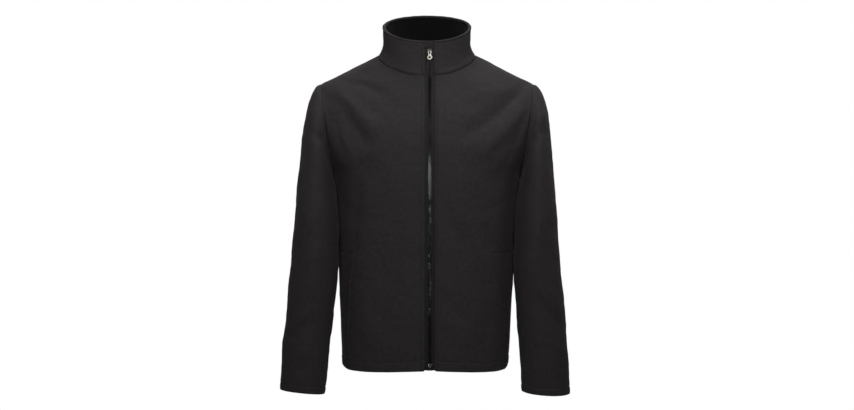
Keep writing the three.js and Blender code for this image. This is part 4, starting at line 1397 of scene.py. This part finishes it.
# %% The two tapes
def tape(side):
    columns = np.linspace(0.6, TAPE_WIDTH - 0.5, TAPE["columns"])
    x = side * np.concatenate([[LAYER_GAP / 2], columns, [TAPE_WIDTH]])
    grid_x, grid_z = np.meshgrid(x, np.linspace(ZIP_BOTTOM_Z, ZIP_TOP_Z, TAPE["rows"]))
    base = on_zip(ZIP_X + grid_x, grid_z, np.full(grid_x.shape, TAPE_DEPTH))
    off = np.abs(grid_x)
    bead = TAPE["bead"] * bell(off - TAPE["bead_at"], TAPE["bead_half"])
    ribs = RIB["height"] * np.sin(2 * math.pi * off / RIB["pitch"])
    lift = (bead + ribs) * smooth((TAPE_WIDTH - off) / RIB["edge"]) - RIB["sunk"]
    uv = np.stack([grid_x, grid_z], axis=-1)
    name = "zip_tape_" + side_name(side)
    thickness = np.full(lift.shape, TAPE["thick"])
    piece = cloth(name + "_woven", base, out_of_front(grid_z), lift, thickness, uv)
    dress(piece, name, "zip_tape", zip_tape, zip_tape)


for side in (-1, 1):
    tape(side)

# %% [markdown]
# ## Teeth, box, slider and pull tab
# These are hard pieces, so they start as primitives and get their shape from edit-mode operators. Drawn
# plates start as a circle with one corner for each corner of the drawing. Bevels are what makes small
# hard parts read as moulded or cast, because each edge catches the light.


# %% Helpers for hard pieces
def block(name, size, at=(0, 0, 0)):
    """A cube primitive, stretched to its size in millimetres."""
    bpy.ops.object.select_all(action="DESELECT")
    bpy.ops.mesh.primitive_cube_add(size=1, location=Vector(at) * MM)
    piece = bpy.context.object
    piece.name = name
    piece.scale = Vector(size) * MM
    bpy.ops.object.transform_apply(location=True, rotation=True, scale=True)
    return piece


def drawn_plate(name, corners, front, back):
    """A plate with a drawn outline in X and Z, between two depths."""
    bpy.ops.object.select_all(action="DESELECT")
    bpy.ops.mesh.primitive_circle_add(vertices=len(corners), radius=1, fill_type="NGON")
    piece = bpy.context.object
    piece.name = name
    for vertex, (x, z) in zip(piece.data.vertices, corners):
        vertex.co = Vector((x, front, z)) * MM
    move = {"TRANSFORM_OT_translate": {"value": (0, (back - front) * MM, 0)}}
    edit_all(piece, (bpy.ops.mesh.extrude_region_move, move), FACE_OUTWARDS)
    return piece


def both_sides(corners):
    """An outline that is the same on both sides of its middle, from the corners of one side."""
    mirrored = [(-x, z) for x, z in reversed(corners)]
    return mirrored[-1:] + corners + mirrored[:-1]


def apply_modifier(piece, kind, **settings):
    select_only(piece)
    modifier = piece.modifiers.new(kind.lower(), kind)
    for key, value in settings.items():
        setattr(modifier, key, value)
    bpy.ops.object.modifier_apply(modifier=modifier.name)
    return piece


def combine(piece, tool, operation="DIFFERENCE"):
    """Cuts one piece out of another, or fuses it to it."""
    apply_modifier(piece, "BOOLEAN", object=tool, operation=operation, solver="EXACT")
    bpy.data.objects.remove(tool)
    return piece


# The angles, in degrees, past which an edge counts as sharp, and past which only a square one does.
SHARP = {"bevel": 30, "shade": 40, "tooth": 25, "square": 60}


def rounded(piece, width, segments=3, angle=SHARP["bevel"]):
    settings = {"width": width * MM, "segments": segments, "limit_method": "ANGLE"}
    apply_modifier(piece, "BEVEL", angle_limit=math.radians(angle), use_clamp_overlap=True, **settings)
    select_only(piece)
    bpy.ops.object.shade_smooth_by_angle(angle=math.radians(SHARP["shade"]))
    return piece


def place(piece, matrix):
    """Moves a piece's mesh to its place, and leaves its object at the origin."""
    piece.data.transform(matrix)
    piece.data.update()
    return piece


def on_collar_frame(z):
    """The lean of the collar at a height on the zip."""
    up = out_of_front(np.array(float(z)))
    middle = Vector((ZIP_X, float(centre_front(np.array(float(z)))), z)) * MM
    return Matrix.Translation(middle) @ Matrix.Rotation(-math.atan2(up[2], -up[1]), 4, "X")


# %% One tooth
# The tooth clamps the tape's bead with its root, narrows to a waist, and ends in a head that locks
# between two heads of the other tape. Its corners are drawn from the root to the head.
TOOTH = {"tall": 1.75, "thick": CHAIN - 0.1, "inset": 0.3, "raised": 0.28}
TOOTH_CORNERS = table(
    "x half",
    (3.5, 0.8),
    (2.4, 1),
    (1, 0.62),
    (0.4, 0.92),
    (-0.55, 0.6),
)


def make_tooth():
    upper = [(x, half * TOOTH["tall"] / 2) for x, half in zip(*TOOTH_CORNERS.values())]
    corners = [(upper[0][0], -upper[0][1]), *upper, *((x, -z) for x, z in upper[:0:-1])]
    piece = drawn_plate("tooth", corners, CHAIN_DEPTH, CHAIN_DEPTH + TOOTH["thick"])
    bpy.ops.object.mode_set(mode="EDIT")
    bpy.ops.mesh.select_all(action="DESELECT")
    bpy.ops.object.mode_set(mode="OBJECT")
    for face in piece.data.polygons:
        face.select = face.normal.y < -0.9
    bpy.ops.object.mode_set(mode="EDIT")
    bpy.ops.mesh.inset(thickness=TOOTH["inset"] * MM, depth=TOOTH["raised"] * MM)
    bpy.ops.object.mode_set(mode="OBJECT")
    return piece


tooth = make_tooth()
tooth_points = np.array([v.co[:] for v in tooth.data.vertices]) / MM
tooth_faces = [tuple(face.vertices) for face in tooth.data.polygons]
bpy.data.objects.remove(tooth)
print("one tooth:", len(tooth_faces), "faces")

# %% The closed chain
TOOTH_LEAN = math.radians(1.4)
ABOVE_BOX = 1.2
BELOW_SLIDER = 7.6


def chain():
    """Copies of the tooth down both tapes, each turned to the zip's line and leaning a little by chance."""
    points, faces = [], []
    draw = np.random.default_rng(31)
    bottom = ZIP_BOTTOM_Z + BOX["height"] + ABOVE_BOX
    for side in (-1, 1):
        first = bottom + (TOOTH_PITCH / 2 if side > 0 else 0)
        turned = [face[::side] for face in tooth_faces]
        for z in np.arange(first, SLIDER_Z - BELOW_SLIDER, TOOTH_PITCH):
            _, forward, rise = out_of_front(np.array(z))
            lean = math.atan2(rise, -forward) + draw.normal(0, TOOTH_LEAN)
            out = np.array([0, -math.cos(lean), math.sin(lean)])
            up = np.array([0, math.sin(lean), math.cos(lean)])
            middle = np.array([ZIP_X, float(centre_front(np.array(z))), z])
            start = len(points) * len(tooth_points)
            points.append(middle + tooth_points @ np.array([[side, 0, 0], -out, up]))
            faces += [tuple(start + k for k in face) for face in turned]
    mesh = bpy.data.meshes.new("zip_teeth")
    mesh.from_pydata((np.vstack(points) * MM).tolist(), [], faces)
    piece = bpy.data.objects.new("zip_teeth", mesh)
    bpy.context.scene.collection.objects.link(piece)
    edit_all(piece, FACE_OUTWARDS)
    bpy.ops.object.shade_smooth_by_angle(angle=math.radians(SHARP["tooth"]))
    print("teeth:", len(points))
    return piece


dress(chain(), "zip_chain", "zip_teeth", teeth)

# %% The box at the foot of the zip
# The box is moulded in one with its tape. The pin of the other tape slides into it from above.
BOX_FRONT = TAPE_DEPTH - LAYER_GAP - BOX["thick"]
BOX_SLOT = {"size": (1.1, 1.4, BOX["height"] * 0.62), "at": (1.4, BOX_FRONT, BOX["height"] * 0.25)}
BOX_PANEL = {"size": (3.2, 0.9, 6.4), "at": (-2.6, BOX_FRONT - 0.05, -1.2)}
box_size = (BOX["width"], BOX["thick"], BOX["height"])
box = block("zip_box_moulded", box_size, (0, BOX_FRONT + BOX["thick"] / 2, 0))
combine(box, block("slot", **BOX_SLOT))
combine(box, block("panel", **BOX_PANEL), "UNION")
rounded(box, BOX["round"])
place(box, on_collar_frame(ZIP_BOTTOM_Z + BOX["height"] / 2))
dress(box, "zip_box", "zip_teeth", teeth)

# %% The slider
# The front plate of the slider tapers to its nose, two flanges run down beside the chain, and a bridge
# carries the pull tab's bar.
SLIDER = {"height": 14, "half_top": 5.8, "half_bottom": 4.6, "plate": 2, "round": 0.35}
FLANGE = {"thick": 1, "share": 0.7}
BRIDGE = {"width": 2.4, "leg": 4.6, "inside": 2.5, "rise": 2.6, "thick": 1.2, "round": 1.1}
OVERLAP = 0.4
PLATE_BACK = CHAIN_DEPTH - LAYER_GAP
PLATE_FRONT = PLATE_BACK - SLIDER["plate"]
PIVOT_Y = PLATE_FRONT - BRIDGE["rise"] / 2


def slider():
    h = SLIDER["height"] / 2
    top, foot = SLIDER["half_top"], SLIDER["half_bottom"]
    flank = [(foot * 0.8, -h), (foot, -h * 0.8), (top, h * 0.2), (top * 0.92, h * 0.62), (top * 0.62, h)]
    body = drawn_plate("zip_slider_cast", both_sides(flank), PLATE_FRONT, PLATE_BACK)
    back = TAPE_DEPTH - LAYER_GAP
    front = PLATE_BACK - OVERLAP
    size = (FLANGE["thick"], back - front, SLIDER["height"] * FLANGE["share"])
    for side in (-1, 1):
        at = (side * (foot - FLANGE["thick"] / 2), (front + back) / 2, 0)
        combine(body, block("flange", size, at), "UNION")
    rise, thick, width = BRIDGE["rise"], BRIDGE["thick"], BRIDGE["width"]
    under = PLATE_FRONT - rise
    middle = (under - thick + PLATE_FRONT + OVERLAP) / 2
    arch = block("bridge", (width, rise + thick + OVERLAP, 2 * BRIDGE["leg"]), (0, middle, 0))
    rounded(arch, BRIDGE["round"], 5, SHARP["square"])
    gap = block("gap", (width * 2, rise, 2 * BRIDGE["inside"]), (0, under + rise / 2, 0))
    combine(body, combine(arch, gap), "UNION")
    return rounded(body, SLIDER["round"])


slider_piece = place(slider(), on_collar_frame(SLIDER_Z))
dress(slider_piece, "zip_slider", "enamel", enamel)

# %% The pull tab
# One casting: a bar through the bridge, two arms round a window, a waist, and a round eye.
PULLER = {
    "bar": 0.8,
    "arm": 3.6,
    "arm_end": -6.8,
    "window": 1.9,
    "window_end": -6,
    "waist": 2.6,
    "waist_z": -8.7,
    "eye_z": -14,
    "eye": 5.6,
    "hole": 2.7,
    "round": 0.5,
    "window_round": 1,
}
EYE_STEPS = 40
CUTTER = 6


def puller():
    p = PULLER
    neck = math.asin(p["waist"] / p["eye"])
    turn = np.linspace(math.pi / 2 + neck, 2.5 * math.pi - neck, EYE_STEPS)
    ring = [(p["eye"] * math.cos(a), p["eye_z"] + p["eye"] * math.sin(a)) for a in turn]
    corners = [
        (p["arm"], p["arm_end"]),
        (p["arm"], p["bar"]),
        (-p["arm"], p["bar"]),
        (-p["arm"], p["arm_end"]),
        (-p["waist"], p["waist_z"]),
        *ring,
        (p["waist"], p["waist_z"]),
    ]
    tab = drawn_plate("zip_puller_cast", corners, PIVOT_Y - p["bar"], PIVOT_Y + p["bar"])
    tall = -p["bar"] - p["window_end"]
    window = block("window", (2 * p["window"], CUTTER, tall), (0, PIVOT_Y, p["window_end"] + tall / 2))
    combine(tab, rounded(window, p["window_round"], 4, SHARP["square"]))
    bpy.ops.object.select_all(action="DESELECT")
    bpy.ops.mesh.primitive_cylinder_add(vertices=EYE_STEPS, radius=p["hole"] * MM, depth=CUTTER * MM)
    eye = Matrix.Translation(Vector((0, PIVOT_Y, p["eye_z"])) * MM) @ Matrix.Rotation(math.pi / 2, 4, "X")
    combine(tab, place(bpy.context.object, eye))
    return rounded(tab, p["round"], 4)


puller_piece = place(puller(), on_collar_frame(SLIDER_Z))
dress(puller_piece, "zip_puller", "nickel", nickel, body="puller")

# %% [markdown]
# ## The garage
# A small folded flap of the jacket's own cloth sits over the top end of the zip, so that the slider does
# not chafe the chin. Its gathers run up and down.

# %% Build the garage
GARAGE = {"from_x": -9, "to_x": 13.5, "from_z": 16.6, "to_z": 33, "thick": 2, "round": 5, "edge": 0.9}
GARAGE_ROWS = beside(0, 0.15, 0.5, 1, 1.7, 2.6, 3.6, 4.6)
GARAGE_COLUMNS = beside(0, 0.01, 0.025, 0.045, *np.linspace(0.07, 0.93, 44), 0.955, 0.975, 0.99, 1)
GARAGE_WALL = 1.45
GATHERS = {"height": 0.75, "pitch": 3.7, "shift": 1.2, "reach": 2.5, "sway": 0.5, "sway_over": 4}
# The slit's depth, its x at its middle height, its lean, its half width, and where it starts and fades.
SLIT = {"deep": 1.3, "x": 3.6, "middle_z": -8, "lean": 0.3, "half": 0.9, "top_z": -1, "fade": 3}
OUT_OF_SOLID = 0.5
COLLAR_BEND = 0.0036


def garage():
    g = GARAGE
    tall = g["to_z"] - g["from_z"]
    rows = np.concatenate([GARAGE_ROWS, np.linspace(5.4, tall - 1, 12), [tall - 0.4, tall]])
    inset = g["round"] - np.sqrt(g["round"] ** 2 - np.clip(g["round"] - rows, 0, None) ** 2)
    low = (g["from_x"] - ZIP_X + inset)[:, None]
    high = (g["to_x"] - ZIP_X - inset)[:, None]
    x = mix(low, high, GARAGE_COLUMNS)
    z = (rows - tall)[:, None] + 0 * x
    edge = np.minimum(np.minimum(x - low, high - x), np.minimum(rows, tall - rows)[:, None])
    sway = GATHERS["sway"] * np.sin(z / GATHERS["sway_over"])
    wave = np.sin(2 * math.pi * (x + GATHERS["shift"]) / GATHERS["pitch"] + sway)
    gathers = GATHERS["height"] * wave * smooth(edge / GATHERS["reach"])
    off = x + SLIT["lean"] * (z - SLIT["middle_z"]) - SLIT["x"]
    slit = SLIT["deep"] * bell(off, SLIT["half"]) * smooth((SLIT["top_z"] - z) / SLIT["fade"])
    points = vectors(x, OUT_OF_SOLID - LAYER_GAP - g["thick"] + COLLAR_BEND * (x + ZIP_X) ** 2, z)
    matrix = np.array(on_collar_frame(g["to_z"]))
    turn = matrix[:3, :3]
    base = points @ turn.T + matrix[:3, 3] / MM
    out = np.broadcast_to(turn @ [0, -1, 0], points.shape)
    lift = rolled(edge, g["edge"]) + gathers - slit
    thickness = np.full(x.shape, GARAGE_WALL)
    piece = cloth("zip_garage_cloth", base, out, lift, thickness, np.stack([x, z], axis=-1))
    dress(piece, "zip_garage", "softshell", softshell, softshell)


garage()

# %% [markdown]
# ## Sewing
# The hem, the cuffs, the edges beside the zip, the pocket mouths and the collar's rim are topstitched.
# Each line of thread lies in the groove that it pulls into the cloth.


# %% Stitch lines on the finished cloth
# How many rows or columns of a grid, from its edge, hold the line. A line ends short of a seam.
HOLD = {"hem": 30, "zip": 24, "mouth": 14, "cuff": 40, "rim": 20}
SHORT = {"seam": 3, "mouth": 8, "zip": 12, "foot": 2, "rim": 4}
ALL = slice(None)


def stitch_line(name, key, at, rows=ALL, columns=ALL, by_column=False):
    """The points and normals of a stitch line, a distance from an edge of a piece. The grid is read row
    by row, or column by column."""
    surface = SURFACES[name + "_cloth"]
    arrays = [surface["points"], surface["normals"], surface["away"][key]]
    if by_column:
        arrays = [a.swapaxes(0, 1) for a in arrays]
    found = []
    for row in zip(*(a[rows][:, columns] for a in arrays)):
        if row[2][0] > row[2][-1]:
            row = [values[::-1] for values in row]
        points, normals, away = row
        if away.min() <= at <= away.max():
            both = np.hstack([points, normals])
            found.append([np.interp(at, away, values) for values in both.T])
    found = np.array(found)
    return found[:, :3], found[:, 3:]


def hem_line(name, first=SHORT["seam"], last=-SHORT["seam"]):
    return stitch_line(name, "hem", HEM_DEPTH, slice(first, last), slice(0, HOLD["hem"]), by_column=True)


STITCHED = {name: [] for name in ("hem", "cuff", "zip_edge", "pocket", "collar")}
for side in (-1, 1):
    front_name = "front_" + side_name(side)
    surface = SURFACES[front_name + "_cloth"]
    mouth = surface["mouth"]
    by_zip = ~surface["neck"], slice(0, HOLD["zip"])
    STITCHED["zip_edge"].append(stitch_line(front_name, "zip", ZIP_STITCH[side], *by_zip))
    by_mouth = slice(SHORT["foot"], surface["low"] - 1), slice(mouth - HOLD["mouth"], mouth + 1)
    STITCHED["pocket"].append(stitch_line(front_name, "mouth", MOUTH_STITCH, *by_mouth))
    STITCHED["hem"].append(hem_line(front_name, SHORT["zip"], mouth - SHORT["mouth"]))
    STITCHED["hem"].append(hem_line("side_piece_" + side_name(side)))
    arm = "sleeve_" + side_name(side)
    around = stitch_line(arm, "cuff", CUFF_DEPTH, ALL, slice(-HOLD["cuff"], None), by_column=True)
    STITCHED["cuff"].append([np.vstack([line, line[:1]]) for line in around])
STITCHED["hem"].append(hem_line("back"))
top = SURFACES["collar_cloth"]["top"]
rim_row = top + FOLD_STEPS // 2
under_rim = slice(SHORT["rim"], -SHORT["rim"]), slice(rim_row - HOLD["rim"], rim_row)
STITCHED["collar"].append(stitch_line("collar", "rim", RIM_STITCH, *under_rim, by_column=True))
up = slice(SHORT["seam"], top - SHORT["foot"])
for key, columns, side in (("left", slice(0, HOLD["zip"]), 1), ("right", slice(-HOLD["zip"], None), -1)):
    STITCHED["collar"].append(stitch_line("collar", key, ZIP_STITCH[side], up, columns))
for name, lines in STITCHED.items():
    row = stitches(name + "_stitches", lines)
    finish_with(row, thread)
    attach(row, "garment")

# %% [markdown]
# ## Light, floor and camera
# The photograph is a straight front view on white. Two soft lamps stand high in front, one stands at each
# side, and two hang above the shoulders. A tall, thin lamp in front is what the zip's teeth and the pull
# tab reflect, and a weak one behind lights the back. The camera stands 4 m away, at the height of the
# jacket's middle.

# %% Camera
CAMERA_AWAY = 4.0
CAMERA_Z = -0.338
SENSOR_WIDTH = 36
FOCAL_LENGTH = 73.31
camera_data = bpy.data.cameras.new("camera")
camera_data.sensor_width = SENSOR_WIDTH
camera_data.lens = FOCAL_LENGTH
camera = bpy.data.objects.new("camera", camera_data)
camera.location = (0, -CAMERA_AWAY, CAMERA_Z)
camera.rotation_euler = (math.pi / 2, 0, 0)
bpy.context.scene.collection.objects.link(camera)
bpy.context.scene.camera = camera


# %% Lights
CHEST = (0, 0, -0.14)


def area_light(name, at, size, power, toward=(0, 0, -0.35), beam=180):
    light = bpy.data.lights.new(name, "AREA")
    light.shape = "RECTANGLE"
    light.size, light.size_y = size
    light.energy = power
    light.spread = math.radians(beam)
    lamp = bpy.data.objects.new(name, light)
    lamp.location = at
    lamp.rotation_euler = (Vector(toward) - Vector(at)).to_track_quat("-Z", "Y").to_euler()
    bpy.context.scene.collection.objects.link(lamp)
    return lamp


# Each lamp's place and size in metres, its power in watts, what it faces and its beam in degrees.
area_light("key_left", (-0.75, -2.7, 1.3), (0.7, 0.7), 1.85, CHEST, 44)
area_light("key_right", (0.75, -2.7, 1.3), (0.7, 0.7), 2.05, CHEST, 44)
area_light("side_left", (-2, -0.7, 0.9), (0.6, 1), 0.8, CHEST, 70)
area_light("side_right", (2, -0.7, 0.9), (0.6, 1), 0.8, CHEST, 70)
area_light("front", (0.02, -CAMERA_AWAY - 0.4, -0.25), (0.15, 0.9), 9)
area_light("top", (-0.2, 0.3, 2.2), (1.2, 0.7), 15)
area_light("top_right", (1, 0.2, 1.9), (0.8, 0.7), 12)
area_light("back", (0, 3.2, 1.2), (3, 2), 22)

# %% World and floor
# The camera sees a white backdrop, and it lights the jacket very little.
DIM = 0.01
world = bpy.data.worlds.new("studio")
bpy.context.scene.world = world
world.use_nodes = True
tree = world.node_tree
tree.nodes.clear()
seen = add(tree, "ShaderNodeBackground", {"Color": linear("#ffffff"), "Strength": 1.0})
dim = add(tree, "ShaderNodeBackground", {"Color": linear("#f4f5f8"), "Strength": DIM})
path = add(tree, "ShaderNodeLightPath")
mixed = {0: path.outputs["Is Camera Ray"], 1: dim.outputs[0], 2: seen.outputs[0]}
both = add(tree, "ShaderNodeMixShader", mixed)
add(tree, "ShaderNodeOutputWorld", {"Surface": both.outputs[0]})

FLOOR_Z = -1.45
FLOOR_RADIUS = 3
bpy.ops.object.select_all(action="DESELECT")
bpy.ops.mesh.primitive_circle_add(vertices=96, radius=FLOOR_RADIUS, fill_type="NGON")
floor = bpy.context.object
floor.name = "floor"
floor.location = (0, 0, FLOOR_Z)
fibres = noise(20 * MM)
white = ("#e9e9ea", "#e9e9ea")
paper = material_of("matte_white_paper", "Object", fibres, white, {"Roughness": 0.9}, [(fibres, 0.2 * MM)])
finish_with(floor, paper)

bpy.context.scene.view_settings.view_transform = "Standard"
bpy.context.scene.view_settings.look = "None"
